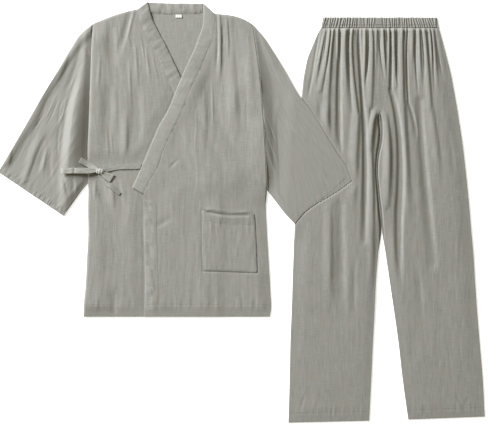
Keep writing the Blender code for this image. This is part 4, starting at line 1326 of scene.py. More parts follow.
POCKET_FOLDS: Folds = (
    (76, 512, 80, 540, 81, 580, 3, 4, 0.3, 0.8, 0.1),
    (88, 512, 90, 540, 92, 575, 3, 4, 0.2, -0.8, -0.1),
    (98, 516, 100, 530, 101, 552, 3, 4, 0.5, 0.9, 0.1),
)
SLEEVE_RIGHT_FOLDS: Folds = (
    (-235, 115, -259, 195, -292, 262, 9, 11, -0.6, -1.0, -0.5),
    (-287, 232, -300, 268, -322, 308, 4, 5, -0.2, -0.7, -0.2),
    (-293, 226, -308, 262, -329, 298, 3.5, 4, 0.2, 0.6, 0.2),
    (-268, 236, -276, 272, -292, 304, 3.5, 4, 0.2, 0.6, 0.1),
    (-318, 262, -336, 292, -356, 316, 4, 5, -0.2, -0.6, -0.2),
    (-270, 215, -284, 262, -286, 316, 4, 5, -0.2, -0.6, -0.2),
    (-283, 300, -288, 345, -284, 390, 5, 6, -0.3, -0.9, -0.2),
    (-267, 131, -281, 171, -311, 232, 12, 14, 0.8, 1.4, 0.4),
    (-322, 240, -344, 290, -366, 330, 12, 14, 0.3, 1.2, 0.3),
    (-322, 318, -343, 357, -366, 425, 14, 14, 0.6, 2.2, 1.4),
    (-310, 333, -325, 375, -341, 424, 9, 11, -0.3, -0.9, -0.5),
    (-314, 340, -321, 385, -326, 430, 8, 9, 0.4, 1.2, 0.4),
    (-304, 356, -306, 403, -300, 450, 9, 10, -0.4, -1.2, -0.5),
    (-400, 352, -404, 380, -412, 400, 8, 9, 0.3, 1.2, 0.3),
    (-279, 424, -273, 447, -268, 480, 8, 9, 0.7, 1.6, 0.6),
    (-252, 420, -250, 445, -252, 470, 11, 11, -0.4, -1.6, -0.6),
    (-222, 108, -216, 118, -211, 130, 3, 3, -0.6, -1.6, -0.6),
    (-226, 120, -222, 128, -216, 134, 3, 3, 0.5, 1.2, 0.3),
)
SLEEVE_LEFT_FOLDS: Folds = (
    (213, 280, 226, 315, 241, 352, 5, 6, -0.2, -0.5, -0.2),
    (211, 318, 226, 360, 243, 404, 5, 6, -0.2, -0.6, -0.2),
    (213, 352, 228, 392, 244, 430, 4, 5, 0.2, 0.5, 0.1),
    (214, 414, 226, 425, 243, 437, 4, 5, -0.2, -0.6, -0.2),
    (236, 452, 252, 476, 268, 502, 6, 7, 0.3, 1.0, 0.3),
    (289, 251, 341, 319, 397, 407, 7, 8, 0.3, 0.7, 0.3),
    (269, 223, 281, 335, 305, 455, 15, 18, -0.2, -0.9, -0.3),
)

LEG_RIGHT_FOLDS: Folds = (
    (-145, 26, -163, 140, -175, 200, 5, 7, -2.4, -2.6, -0.4),
    (-138, 25, -154, 102, -166, 150, 4, 6, 1.6, 1.6, 0.2),
    (-131, 25, -146.5, 102, -156, 160, 5, 9, 2.6, 2.8, 0.8),
    (-127, 36, -131, 70, -134.5, 104, 3, 3.5, -1.6, -2.0, -0.4),
    (-121, 25, -129.5, 102, -144, 174, 4.5, 11, 2.6, 2.6, 1.2),
    (-117, 36, -123, 90, -127.5, 128, 3, 4, -1.4, -2.0, -0.3),
    (-112, 25, -120, 102, -126, 200, 4.5, 12, 2.4, 3.0, 2.0),
    (-101, 25, -101.5, 78, -101, 116, 3.5, 4, 2.0, 2.2, 0.6),
    (-95, 26, -97, 160, -96, 322, 6, 14, -2.8, -5.8, -2.4),
    (-126, 200, -129, 262, -127, 340, 12, 22, 2.0, 3.8, 0.8),
    (-94, 450, -92, 610, -92, 755, 20, 24, -1.8, -2.6, -0.7),
    (-122, 430, -122, 600, -122, 740, 14, 17, 0.8, 1.8, 0.4),
    (-80.5, 25, -85, 102, -77, 246, 8, 13, 3.0, 3.4, 0.8),
    (-71, 25, -74.5, 102, -65, 228, 4, 6, -2.8, -3.8, -0.8),
    (-66, 25, -68.5, 102, -55, 236, 4, 9.5, 2.4, 2.8, 2.6),
    (-55, 236, -62, 366, -72, 524, 14, 21, 2.6, 2.8, 0.8),
    (-51, 27, -48, 102, -40, 222, 7, 7.5, -2.6, -4.2, -5.4),
    (-40, 222, -33.5, 345, -37, 536, 8, 13.5, -5.4, -6.8, -1.6),
    (-36, 25, -37, 102, -38.5, 165, 5, 4.5, 2.6, 2.6, 0.6),
    (-27.5, 28, -29, 102, -35, 158, 4, 5.5, -2.4, -3.4, -0.8),
    (-21, 25, -19.5, 102, -25, 214, 5, 13, 2.4, 2.6, 1.8),
    (-29, 222, -21.5, 354, -19.5, 524, 9, 12, 1.8, 2.8, 1.3),
    (-19.5, 524, -19, 600, -24, 700, 12, 11, 1.3, 1.7, 0.2),
    (-9.5, 26, -9.5, 74, -9.5, 128, 4.5, 5, 1.6, 1.2, 0.1),
    (-9, 226, -19, 258, -24, 330, 11, 15, 1.0, 5.0, 2.4),
    (-1.5, 223, -6.5, 240, -13.5, 262, 2.6, 2.8, 1.0, 1.6, 0.6),
    (-5, 234, -11, 246, -17, 262, 2.6, 3, -0.6, -1.5, -0.6),
    (-152, 190, -160, 300, -166, 400, 10, 13, 0.2, 1.2, 0.3),
    (-60, 560, -62, 660, -64, 760, 11, 14, 0.2, -1.1, -0.2),
    (-178, 905, -186, 925, -188, 942, 5, 6, -0.2, -0.9, -0.2),
    (-46, 905, -36, 918, -30, 928, 5, 5, -0.3, -1.2, -0.3),
)
LEG_LEFT_FOLDS: Folds = (
    (-1, 28, 1, 90, 11, 146, 3.5, 4, -2.0, -2.6, -0.8),
    (6.5, 28, 8.5, 83, 14.5, 148, 5, 4.5, 2.6, 3.2, 0.6),
    (15, 25, 17, 47, 17, 72, 3.5, 3.5, -1.6, -2.0, -0.2),
    (20.5, 25, 21, 78, 19, 150, 3.8, 4, 1.8, 2.0, 0.8),
    (25.5, 25, 26.5, 102, 27, 174, 4, 7.5, -2.8, -4.2, -4.6),
    (27, 174, 50, 300, 48, 467, 9.5, 16, -4.6, -8.4, -6.6),
    (48, 467, 47, 558, 50, 682, 16, 13, -6.6, -4.4, -0.8),
    (33, 25, 33.5, 102, 38.5, 165, 4.5, 7.5, 2.4, 3.2, 1.0),
    (42, 25, 40, 102, 38.5, 157, 4.5, 5, -2.0, -2.0, -0.1),
    (52, 25, 51.5, 102, 53.5, 212, 7, 12, 2.6, 3.0, 2.8),
    (54, 210, 61, 366, 69.5, 558, 14, 23, 2.8, 3.0, 0.8),
    (59.5, 25, 60, 44, 60, 68, 2.8, 3, -1.5, -1.3, -0.1),
    (67, 27, 64.5, 102, 68.5, 205, 4, 5, -2.6, -3.4, -2.4),
    (68.5, 205, 85, 262, 96, 345, 7, 13, -2.4, -2.0, -0.4),
    (77, 25, 77, 66, 75.5, 128, 6.5, 8, 2.4, 2.4, 0.6),
    (86, 27, 85.5, 102, 92.5, 193, 4, 5, -2.6, -2.8, -0.5),
    (92.5, 25, 95, 102, 98.5, 164, 4.5, 8, 2.4, 2.2, 0.6),
    (99, 27, 105.5, 97, 106, 150, 3, 4, -1.8, -2.3, -0.4),
    (105.5, 25, 111.5, 102, 120, 222, 4, 11.5, 2.4, 2.6, 1.8),
    (113, 27, 117, 78, 120, 128, 3, 3.5, -1.6, -1.6, -0.2),
    (117.5, 25, 122.5, 78, 125, 128, 3.2, 4, 1.8, 2.0, 0.4),
    (122, 27, 126.5, 90, 131, 180, 3.5, 4.5, -2.0, -2.6, -0.5),
    (126.5, 25, 132, 97, 137, 164, 4, 7, 2.2, 2.2, 0.8),
    (131.5, 26, 141.5, 97, 151, 146, 3.5, 5.5, -1.8, -2.0, -0.4),
    (137, 26, 150, 97, 162, 160, 4.5, 8, 1.8, 1.6, 0.4),
    (96, 200, 106.5, 354, 129.5, 590, 16, 20, -2.2, -3.6, -1.5),
    (122, 222, 134, 318, 146, 440, 13, 18, 1.6, 1.6, 0.4),
    (12, 232, 20, 330, 15, 450, 12, 16, 1.2, 4.2, 1.4),
    (-2, 228, 4, 240, 8, 254, 2.6, 3, 0.8, 1.4, 0.3),
    (160, 260, 172, 330, 182, 420, 12, 16, 0.2, -1.0, -0.2),
    (84, 560, 96, 660, 100, 780, 12, 15, 0.2, -1.0, -0.2),
    (182, 905, 195, 925, 206, 944, 5, 6, -0.3, -1.2, -0.3),
    (196, 932, 208, 920, 219, 908, 4, 5, -0.2, -1.0, -0.3),
)
LEG_RIGHT_SECTIONS = (
    *level_sections((
        (-141.5, -0.3, 24.5), (-149.5, -0.3, 39.5), (-158, -0.8, 59), (-166, -1.3, 78),
        (-173.5, -1.8, 97), (-178.5, -1.8, 119), (-183, -1.8, 140.5), (-186, -1.3, 164.5),
        (-188.5, -0.9, 193), (-190.5, -0.9, 216), (-191.5, -1.8, 227), (-192, -5.6, 239),
        (-192.5, -6.6, 248.5), (-193.5, -5.0, 259), (-194.5, -3.2, 270), (-196.5, -5.2, 301),
        (-198, -9.6, 332.5), (-200, -11, 368.5), (-202, -8.5, 407), (-203.5, -6.2, 438),
        (-204.5, -3.8, 471.5), (-205.5, -0.8, 507.5), (-207.5, -4.5, 567.5), (-209.5, -9, 625),
        (-212, -12.5, 699.5), (-215, -16.5, 774), (-217, -21, 870),
    )),
    Section(-220, 972, -26, 967.5),
)
LEG_LEFT_SECTIONS = (
    *level_sections((
        (0, 141, 24.5), (0, 145, 39.5), (-0.5, 150.5, 59), (-1, 155.5, 78), (-1.5, 160.5, 97),
        (-1.5, 166, 119), (-1.5, 171, 140.5), (-1, 175.5, 164.5), (-0.5, 180.5, 193),
        (-0.5, 186.5, 227), (4.8, 189.5, 248.5), (5.8, 193, 270), (4.2, 197.5, 301),
        (-2.6, 201.5, 332.5), (-5.2, 205.5, 368.5), (-2.4, 209.5, 407), (1.2, 212.5, 438),
        (5.2, 215.5, 471.5), (8.2, 218.5, 507.5), (13.5, 224, 567.5), (22, 227.5, 625),
        (33, 232.5, 699.5), (43.5, 238.5, 774), (54.5, 246.5, 870),
    )),
    Section(67.5, 964.5, 251, 957.5),
)

TIE_FRONT = tuple(Station(*row) for row in (
    (-88.3, 394.3, 4.2, 13, -0.4, 1), (-108, 395.3, 4.1, 12.5, 0, 1),
    (-126, 396, 4.7, 11, 0.1, 1), (-146, 398, 4.4, 9, 0.2, 1), (-160, 401.5, 4.8, 7.5, 0.2, 1),
    (-169, 404, 6.1, 7, 0.1, 1), (-175.8, 405.4, 7.6, 6.5, 0, 1), (-180.5, 405.6, 8.2, 5.5, 0, 1),
))
TIE_SIDE = tuple(Station(*row) for row in (
    (-211, 407, 4.8, 8, 0, 1), (-207, 407, 4.9, 8, 0, 1), (-202, 407, 4.7, 7.5, 0, 1),
    (-195.6, 407, 4.7, 7, 0, 1),
))
LOOP_LEFT = tuple(Station(*row) for row in (
    (-192.5, 405, 8.0, 6, 0, 1), (-198, 405, 7.8, 9, 0, 1), (-210, 405, 8.0, 13, 0, 1),
    (-235, 405, 11.4, 13.5, 0, 1), (-252, 405, 13.8, 13.5, 0, 1), (-262, 405.2, 14.6, 13.5, 0, 1),
    (-270, 405.4, 14.9, 13.5, 0, 1), (-276.5, 405.6, 15.1, 13, 0, 1),
    (-278.2, 405.6, 16.0, 13, 0, 1), (-276.5, 405.6, 16.9, 13, 0, 1),
    (-262, 405.2, 16.9, 13.5, 0, 1), (-250.5, 405, 16.4, 13.5, 0, 1),
    (-247, 405, 15.4, 13.5, 0, 1), (-243, 405, 15.5, 13.5, 0, 1), (-226, 405, 13.4, 13.5, 0, 1),
    (-208, 405, 11.0, 12.5, 0, 1), (-198, 405, 9.8, 8.5, 0, 1), (-192.5, 405, 9.4, 6, 0, 1),
))
LOOP_RIGHT = tuple(Station(*row) for row in (
    (-184, 407.4, 6.7, 5, -0.46, 0.89), (-174.5, 413.2, 6.0, 12, -0.47, 0.88),
    (-167, 417.8, 5.4, 16, -0.49, 0.87), (-158.4, 422.8, 4.9, 19, -0.5, 0.86),
    (-156.8, 423.8, 5.3, 20, -0.52, 0.86), (-158.4, 423.2, 5.8, 20.5, -0.53, 0.85),
    (-164, 420.6, 6.5, 20, -0.54, 0.84), (-171, 417.4, 7.4, 17, -0.54, 0.84),
    (-178, 413.4, 8.3, 11, -0.54, 0.84), (-185.5, 408.8, 8.9, 6, -0.54, 0.84),
))
END_UP = tuple(Station(*row) for row in (
    (-191, 404.4, 7.4, 6.5, 0.51, -0.86), (-197, 400.6, 6.9, 10.5, 0.51, -0.86),
    (-206, 395.3, 6.6, 12.5, 0.51, -0.86), (-215.5, 389.8, 7.3, 13, 0.51, -0.86),
    (-225, 384.3, 9.4, 13, 0.51, -0.86), (-233.5, 379.4, 12.0, 13, 0.51, -0.86),
))
END_DOWN = tuple(Station(*row) for row in (
    (-187, 408.4, 6.2, 5.5, -0.98, 0.2), (-188, 413.5, 5.5, 7, -0.94, 0.34),
    (-186, 419.5, 5.1, 8.2, -0.8, 0.6), (-181, 426.5, 5.2, 8.5, -0.68, 0.73),
    (-170, 436.8, 6.3, 8.5, -0.62, 0.79), (-162, 443, 7.7, 8.5, -0.6, 0.8),
    (-154, 449, 7.3, 8.5, -0.6, 0.8), (-146, 455, 6.1, 8.5, -0.6, 0.8),
    (-138.5, 461, 4.9, 8.5, -0.6, 0.8),
))


class Billow(NamedTuple):
    """How a sleeve stands beside the body at one depth.

    Its reach is how far off the crest or the valley's end is. Its bend is 1 where the fall from
    the body starts steep and 0 where it ends steep.
    """

    d: float
    reach: float
    height: float
    bend: float = 0.0


class Lip(NamedTuple):
    """A rise towards the armhole: its height, its width and the depth where it is full."""

    height: float
    width: float
    full: float


# Where the rows of the waistband's grid are, from its top at 0 to its seam at 1
BAND_ROWS = (
    0.0, 0.015, 0.05, 0.12, 0.2, 0.3, 0.4, 0.5, 0.6, 0.68, 0.74, 0.78, 0.82, 0.86, 0.9, 0.95, 1.0,
)
BILLOW_RIGHT = tuple(Billow(*row) for row in (
    (53, 14, 1.0), (100, 12, 1.2), (150, 15, 3.2), (187, 21, 5.6), (225, 28, 9.6),
    (259, 34, 12.6), (307, 38, 14.6), (355, 41, 14.4), (385, 44, 12.0), (405, 47, 9.0),
    (440, 50, 7), (475, 50, 5), (510, 50, 3),
))
BILLOW_LEFT = tuple(Billow(*row) for row in (
    (55, 14, 0.8, 1), (110, 24, 5.0, 1), (165, 42, 8.4, 1), (211, 50, 9.6, 1),
    (260, 38, 10.0, 0.5), (307, 31, 10.2, 0), (355, 31, 9.4, 0), (385, 31, 7.6, 0),
    (415, 31, 4.6, 0), (445, 31, 2.2, 0), (480, 31, 0.4, 0),
))
LIP_RIGHT = (Lip(4.0, 60, 90),)
LIP_LEFT = (Lip(5.5, 130, 190), Lip(3.8, 40, 190))


# Rows of stitching: places (x, d) along each
CUFF_RIGHT_ROW = np.array([[-421.0, 402.0], [-270.0, 502.0]])
CUFF_LEFT_ROW = np.array([[403.0, 421.0], [350.0, 467.0], [282.0, 519.0]])
POCKET_EDGE_ROW = np.array(
    [[59.0, 505.0], [60.0, 560.0], [61.5, 642.0], [120.0, 645.0], [186.0, 647.5], [188.5, 640.0],
     [186.0, 567.0], [182.0, 512.0]]
)
POCKET_HEM_ROW = np.array([[60.0, 524.0], [120.0, 533.0], [184.0, 534.0]])
LEG_RIGHT_ROW = np.array([[-216.0, 947.5], [-30.0, 944.5]])
LEG_LEFT_ROW = np.array([[68.0, 941.0], [247.0, 934.5]])
# Where other rows start and end: the jacket's hem and the casing in x, the facing in d
HEM_UNDER_SPAN = (-222.0, -84.0)
HEM_OVER_SPAN = (-77.0, 219.0)
FACING_SPAN = (480.0, 722.0)
CASING_SPAN = (-138.0, 138.0)


@dataclass
class Jacket:
    """The wrap jacket: its body, sleeves, collar, pocket and label."""

    placing: Placing = JACKET_AT
    length: float = 755.0
    underarm_right: float = 435.0
    underarm_left: float = 452.0
    crinkle: Crinkle = Crinkle()
    stitching: Stitching = Stitching()
    # Both fronts: their loft, rolled edges, hem and calmer sides
    body_loft: float = 2.2
    edge_roll: float = 4.6
    hem_roll: float = 2.6
    hem: float = 30.0
    hem_share: float = 0.2
    calm_width: float = 34.0
    side_share: float = 0.4
    under_side_share: float = 0.75
    over_side_share: float = 0.12
    # Their rise towards the armhole
    lip_start: float = 60.0
    lip_runout: float = 45.0
    lip_from: float = 50.0
    lip_uneven: float = 0.12
    lip_cell: float = 34.0
    # Where they meet the collar, and where the two collars cross
    collar_step: float = 0.4
    collar_runout: float = 34.0
    folds_in_seam: float = 0.3
    seam_rise: Pair = (-2.7, -0.1)
    tuck: float = 0.2
    collars_cross: Pair = (190.0, 221.0)
    collar_ends: Pair = (462.0, 480.0)
    # The under front: how it sinks under the over front and under the bow
    cover_near: Pair = (1.0, 6.0)
    cover_far: Pair = (2.0, 34.0)
    cover_share: float = 0.3
    tied_share: float = 0.8
    tied_x: Pair = (-214.0, -94.0)
    tied_d: Pair = (390.0, 420.0)
    tied_fade: Pair = (24.0, 36.0)
    # The over front: what it lies on, its edge, side and facing
    bulge_across: tuple[Pair, ...] = ((-60.0, -14.0), (41.0, 83.0))
    bulge_down: tuple[Pair, ...] = ((120.0, 165.0), (428.0, 480.0))
    bulge_room: float = 0.8
    under_step: Pair = (8.0, 34.0)
    edge_share: float = 0.62
    edge_width: float = 24.0
    front_roll: float = 2.4
    armhole_roll: float = 0.5
    seam_roll: float = 1.9
    fuller_side: Pair = (430.0, 470.0)
    facing: float = 31.0
    facing_relief: float = 0.3
    facing_groove: float = 0.2
    facing_groove_width: float = 2.6
    facing_step: Pair = (1.0, 2.5)
    facing_pucker: float = 1.7
    puckers_at: float = 12.0
    pucker_slant: float = 0.8
    pucker_pitch: float = 7.0
    # The pocket and the slit at its mouth
    pocket_hem: float = 23.0
    pocket_calm: float = 0.5
    calm_about_pocket: Pair = (-3.2, -0.2)
    pocket_room: float = 0.4
    pocket_pucker: float = 0.28
    pocket_corner: float = 5.0
    corner_drawn_in: Pair = (1.6, 1.4)
    pocket_droop: float = 3.2
    droop_across: Triple = (0.28, 0.8, 0.2)
    pocket_gape: float = 1.7
    gape_down: Pair = (2.0, 28.0)
    droop_depth: float = 26.0
    pocket_loft: float = 0.35
    pocket_waves: tuple[Triple, Triple] = ((0.3, 7.0, 34.0), (0.16, 3.5, 20.0))
    pocket_free: Pair = (1.0, 5.0)
    pocket_row: Pair = (9.0, 7.0)
    pocket_hem_width: float = 2.2
    sewn_share: float = 0.3
    sewn_width: float = 1.8
    seam_lift: Triple = (0.3, 0.4, 2.6)
    seam_groove: Triple = (0.16, 2.2, 1.6)
    pocket_hem_lift: float = 0.14
    pocket_hem_groove: float = 0.2
    mouth_d: float = 503.5
    mouth_slope: float = 0.0745
    mouth_middle: float = 118.0
    mouth_half: float = 60.0
    mouth_droop: float = 4.0
    mouth_relief: tuple[tuple[float, ...], ...] = ((1.3, -7.5, 6.0), (-3.6, 0.0, 4.4))
    mouth_across: Triple = (76.0, 160.0, 14.0)
    # The part of the back that shows in the neck
    seen_across: Pair = (-70.0, 60.0)
    seen_down: tuple[Pair, ...] = ((30.0, 40.0), (150.0, 200.0))
    seen_ripple: float = 0.08
    seen_fade: float = 20.0
    seen_cell: Pair = (9.0, 60.0)
    # The collar
    band_width: float = 30.0
    band_fold: float = 0.36
    band_fold_roll: float = 3.4
    band_sink: float = 0.4
    sink_from: Pair = (0.2, 3.0)
    least_band: float = 0.5
    pleat_cells: tuple[Pair, Pair] = ((11.0, 1.4), (4.6, 2.2))
    pleats_covered: float = 0.4
    covered_fade: float = 25.0
    # The sleeves: their loft, the rise beside the body, their long edges, cuffs and warp
    sleeve_loft: float = 1.2
    sleeve_lift: float = 3.9
    lift_runout: Pair = (14.0, 64.0)
    trousers_side: Pair = (297.0, 223.0)
    trousers_lean: Pair = (17.0, 309.0)
    valley: float = 1.9
    climb: float = 0.7
    climb_from: float = -0.35
    fall_powers: tuple[Pair, Pair] = ((1.5, 0.5), (1.25, 0.95))
    fall_out: Pair = (10.0, 0.35)
    climb_width: float = 70.0
    calm_share: float = 0.25
    calm_from: float = 0.6
    rim: float = 4.6
    rim_width: float = 25.0
    rim_roll: float = 1.2
    shoulder_round: float = 13.0
    shoulder_down: Pair = (100.0, 200.0)
    crown_share: float = 0.6
    crown_down: Pair = (160.0, 280.0)
    crown_cuff: Pair = (8.0, 40.0)
    side_rise: Pair = (1.5, 16.0)
    armhole_gap: float = 0.5
    armhole_bend: float = 0.4
    hidden_armhole: float = 0.85
    outer_share: float = 0.25
    outer_width: float = 24.0
    end_width: float = 20.0
    seam_shares: Pair = (0.3, 0.35)
    cuff_hem: float = 13.0
    cuff_pucker: float = 0.55
    cuff_row: Triple = (7.0, 12.0, 3.0)
    cuff_relief: Pair = (0.4, 1.4)
    cuff_rolls: Pair = (0.6, 2.6)
    grain_right: Pair = (-0.537, 0.843)
    grain_left: Pair = (0.53, 0.848)
    # The label
    label_at: Pair = (2.2, 34.2)
    label_size: Pair = (15.0, 7.5)
    label_wall: float = 0.8
    label_lift: float = 0.35
    label_ripple: float = 0.1
    # Steps of the grids
    front_rows: tuple[int, int] = (196, 260)
    panel_columns: int = 134
    panel_margin: float = 7.0
    back_steps: tuple[int, int] = (94, 90)
    sleeve_steps: tuple[int, int] = (120, 164)
    lower_stride: int = 5
    band_step: float = 2.2
    band_columns: int = 12
    pocket_steps: tuple[int, int] = (50, 50)
    label_steps: tuple[int, int] = (10, 16)
    route_steps: int = 60

    def armhole_lip(self, inside: Array, d: Array, lips: Sequence[Lip], underarm: float) -> Array:
        """How far a front rises towards the armhole; it dies away below the underarm.

        Args:
            inside: Way in from the side, in mm.
            d: The places' d.
            lips: Its rises.
            underarm: Where the sleeve ends.

        Returns:
            Heights in mm.
        """
        below = ramp(d, underarm - self.lip_start, underarm + self.lip_runout)
        uneven = 1 + self.lip_uneven * lattice(d / self.lip_cell, 0 * d, Seed.ARMHOLE)
        rises = [
            row.height * (1 - ramp(inside, 0, row.width)) * ramp(d, self.lip_from, row.full)
            for row in lips
        ]
        return uneven * (1 - below) * np.sum(rises, axis=0)

    def flattened(self, height: Array, inside: Array, d: Array, underarm: float,
                  kept: float) -> Array:
        """A front's height, lower towards its side and its hem, where the cloth lies flat.

        Args:
            height: Its height elsewhere.
            inside: Way in from the side, in mm.
            d: The places' d.
            underarm: Where the sleeve ends.
            kept: Share of the height that is left at the side below the sleeve.

        Returns:
            The lower height.
        """
        below = ramp(d, underarm, underarm + self.lip_start)
        at_side = self.side_share + (kept - self.side_share) * below
        at_hem = eased(self.hem_share, self.length - d, 0, self.calm_width)
        return height * eased(at_side, inside, 0, self.calm_width) * at_hem

    def beside_band(self, strip: Sequence[Strip], seam: Array, d: Array, base: Array,
                    loft: Array) -> Array:
        """Height of a front beside the collar: level with the collar's top at their seam.

        It is nothing under the collar, climbs to the collar's top in the seam, and changes over
        to its own loft within a hand's breadth.

        Args:
            strip: The collar's edges.
            seam: Way from the seam, in mm.
            d: The places' d.
            base: What the front lies on.
            loft: Its own height over that.

        Returns:
            Heights over the base.
        """
        table = np.array(strip, float)
        level = smooth(table[:, 4], table[:, 5], d) + BAND - CLOTH - self.collar_step - base
        level = np.maximum(level, self.collar_step) + self.folds_in_seam * (loft - self.body_loft)
        tucked = np.maximum(level - BAND + self.tuck, 0.0) * ramp(seam, -COLLAR_LAP, 0)
        own = ramp(seam, 3, self.collar_runout)
        return tucked + ramp(seam, *self.seam_rise) * (level * (1 - own) + loft * own - tucked)

    def under_front(self, x: Array, d: Array) -> Array:
        """Height of the under front's lower face.

        It lies on the back. Its loft and folds sink to nothing under the over front, and to a
        fifth under the bow.

        Args:
            x: The places' x.
            d: The places' d.

        Returns:
            Heights in mm.
        """
        left = x - edge_x(SIDE_RIGHT, d)
        seam = np.where(d < COVER_EDGE[0].d, edge_x(SEAM_UNDER, d), edge_x(COVER_EDGE, d)) - x
        loft = self.body_loft + fold_height(x, d, FRONT_RIGHT_FOLDS)
        loft = loft + self.crinkle.height(x, d, Seed.UNDER_FRONT)
        loft = loft + hem_relief(self.length - d, self.hem, x, self.crinkle, Seed.UNDER_HEM)
        height = soft_floor(loft)
        open_seam = 1 - ramp(d, *self.collars_cross)
        beside = self.beside_band(COLLAR_RIGHT_STRIP, seam, d, LAYER, height)
        near = self.cover_share * ramp(seam, *self.cover_near)
        far = (1 - self.cover_share) * ramp(seam, *self.cover_far)
        height = open_seam * beside + (1 - open_seam) * height * (near + far)
        height = self.flattened(height, left, d, self.underarm_right, self.under_side_share)
        height = height + self.armhole_lip(left, d, LIP_RIGHT, self.underarm_right)
        fade_x, fade_d = self.tied_fade
        tied = within(x, *self.tied_x, fade_x) * within(d, *self.tied_d, fade_d)
        height = height * (1 - self.tied_share * tied)
        height = height * rolled(left, self.edge_roll)
        return LAYER + height * rolled(self.length - d, self.hem_roll)

    def over_front_base(self, x: Array, d: Array) -> Array:
        """What the over front lies on: the back, the under front and the hidden under collar.

        Args:
            x: The places' x.
            d: The places' d.

        Returns:
            Heights in mm.
        """
        past = x - edge_x(SEAM_UNDER, d)
        (rise, fall), (begin, end) = self.bulge_across, self.bulge_down
        on_collar = ramp(past, *rise) * (1 - ramp(past, *fall))
        on_collar = on_collar * ramp(d, *begin) * (1 - ramp(d, *end))
        return LAYER * (2 - ramp(past, *self.under_step)) + (BAND + self.bulge_room) * on_collar

    def in_pocket(self, x: Array, d: Array) -> Array:
        """How far inside the pocket's outline each place is: the least way to its four sides.

        Args:
            x: The places' x.
            d: The places' d.

        Returns:
            Ways in mm, below 0 outside.
        """
        top, bottom = POCKET_SECTIONS[0], POCKET_SECTIONS[-1]
        corners = np.array([top[:2], top[2:4], bottom[2:4], bottom[:2]], float)
        ways = []
        for (x0, d0), (x1, d1) in zip(corners, np.roll(corners, -1, axis=0)):
            length = np.hypot(x1 - x0, d1 - d0)
            ways.append(((d - d0) * (x1 - x0) - (x - x0) * (d1 - d0)) / length)
        return np.minimum.reduce(ways)

    def over_front(self, x: Array, d: Array) -> Array:
        """Height of the over front's lower face.

        It starts flat under the collar's seam, and below the collar it ends in a rolled edge
        with a facing. It is calmer under the pocket.

        Args:
            x: The places' x.
            d: The places' d.

        Returns:
            Heights in mm.
        """
        seam = x - edge_x(SEAM_OVER, d)
        right = edge_x(SIDE_LEFT, d) - x
        free = ramp(d, *self.collar_ends)
        loft = self.body_loft + fold_height(x, d, FRONT_LEFT_FOLDS)
        loft = loft + self.crinkle.height(x, d, Seed.OVER_FRONT)
        loft = loft + hem_relief(self.length - d, self.hem, x, self.crinkle, Seed.OVER_HEM)
        stitched = self.facing_relief * (
            1 - ramp(seam, self.facing - self.facing_step[0], self.facing + self.facing_step[1])
        )
        stitched = stitched - self.facing_groove * bump(
            seam, self.facing, self.facing_groove_width
        )
        stitched = stitched + self.crinkle.pucker(
            seam - self.puckers_at, d - self.pucker_slant * seam, self.puckers_at,
            self.pucker_pitch, self.facing_pucker, Seed.FACING,
        )
        loft = loft + free * stitched
        calm = self.pocket_calm * ramp(self.in_pocket(x, d), *self.calm_about_pocket)
        from_corner = self.mouth_slope * (x - POCKET_SECTIONS[0].left_x)
        droop = self.mouth_droop * bump(x, self.mouth_middle, self.mouth_half)
        mouth = d - self.mouth_d - from_corner - droop
        slit = sum(height * bump(mouth, at, half) for height, at, half in self.mouth_relief)
        loft = loft * (1 - calm) + slit * within(x, *self.mouth_across)
        base, height = self.over_front_base(x, d), soft_floor(loft)
        sewn = self.beside_band(COLLAR_LEFT_STRIP, seam, d, base, height)
        edge = rolled(seam, self.front_roll) * eased(self.edge_share, seam, 0, self.edge_width)
        height = sewn * (1 - free) + height * edge * free
        height = self.flattened(height, right, d, self.underarm_left, self.over_side_share)
        height = height + self.armhole_lip(right, d, LIP_LEFT, self.underarm_left)
        rounding = self.armhole_roll + self.seam_roll * ramp(d, *self.fuller_side)
        height = height * rolled(right, rounding) * rolled(self.length - d, self.hem_roll)
        return base + height

    def billow(self, rows: Sequence[Billow], beside: Array, d: Array, out: int) -> Array:
        """How far a sleeve stands up beside the body.

        On the wearer's right it climbs from the armhole to its crest in the later part of an S,
        steep at once, and falls off in another. On the left it starts level with the body and
        falls as (1 - t ** a) ** b, where a goes from 1.5 to 1 and b from 1.25 to 2.2 with the
        row's bend.

        Args:
            rows: Reaches and heights down the sleeve.
            beside: Way from the armhole, in mm.
            d: The places' d.
            out: 1 where the sleeve lies right of the body and -1 where left.

        Returns:
            Heights in mm.
        """
        table = np.array(rows, float)
        reach, height, bend = (smooth(table[:, 0], column, d) for column in table.T[1:])
        t = np.clip(beside / reach, 0.0, 1.0)
        if out > 0:
            (inner, less), (outer, more) = self.fall_powers
            return height * (1 - t ** (inner - less * bend)) ** (outer + more * bend)
        begun = ramp(np.zeros(1), self.climb_from, 1)
        climb = (ramp(t, self.climb_from, 1) - begun) / (1 - begun)
        least, share = self.fall_out
        return height * climb * (1 - ramp(beside - reach, 0, least + share * reach))

    def panel(
        self, sections: Sequence[Section], height: Callable[[Array, Array], Array], rows: int,
        left_edge: Sequence[Edge] = (), right_edge: Sequence[Edge] = (),
    ) -> tuple[ClothMesh, Surface]:
        """A front: a wall of cloth above its lower face, the shoulder rolled over.

        Args:
            sections: Lines across it.
            height: Its lower face.
            rows: Steps down it.
            left_edge: Its left edge, where that is finer.
            right_edge: Its right edge, the same.

        Returns:
            The mesh and its upper face.
        """
        x, d = panel_points(
            sections, rows, self.panel_columns, left_edge, right_edge, margin=self.panel_margin
        )
        shoulder = rolled(np.hypot(x - x[:1], d - d[:1]), self.edge_roll)
        low = height(x, d)
        low = LAYER + (low - LAYER) * shoulder
        return layer_mesh(x, d, low + upright(x, d, low, CLOTH), low)

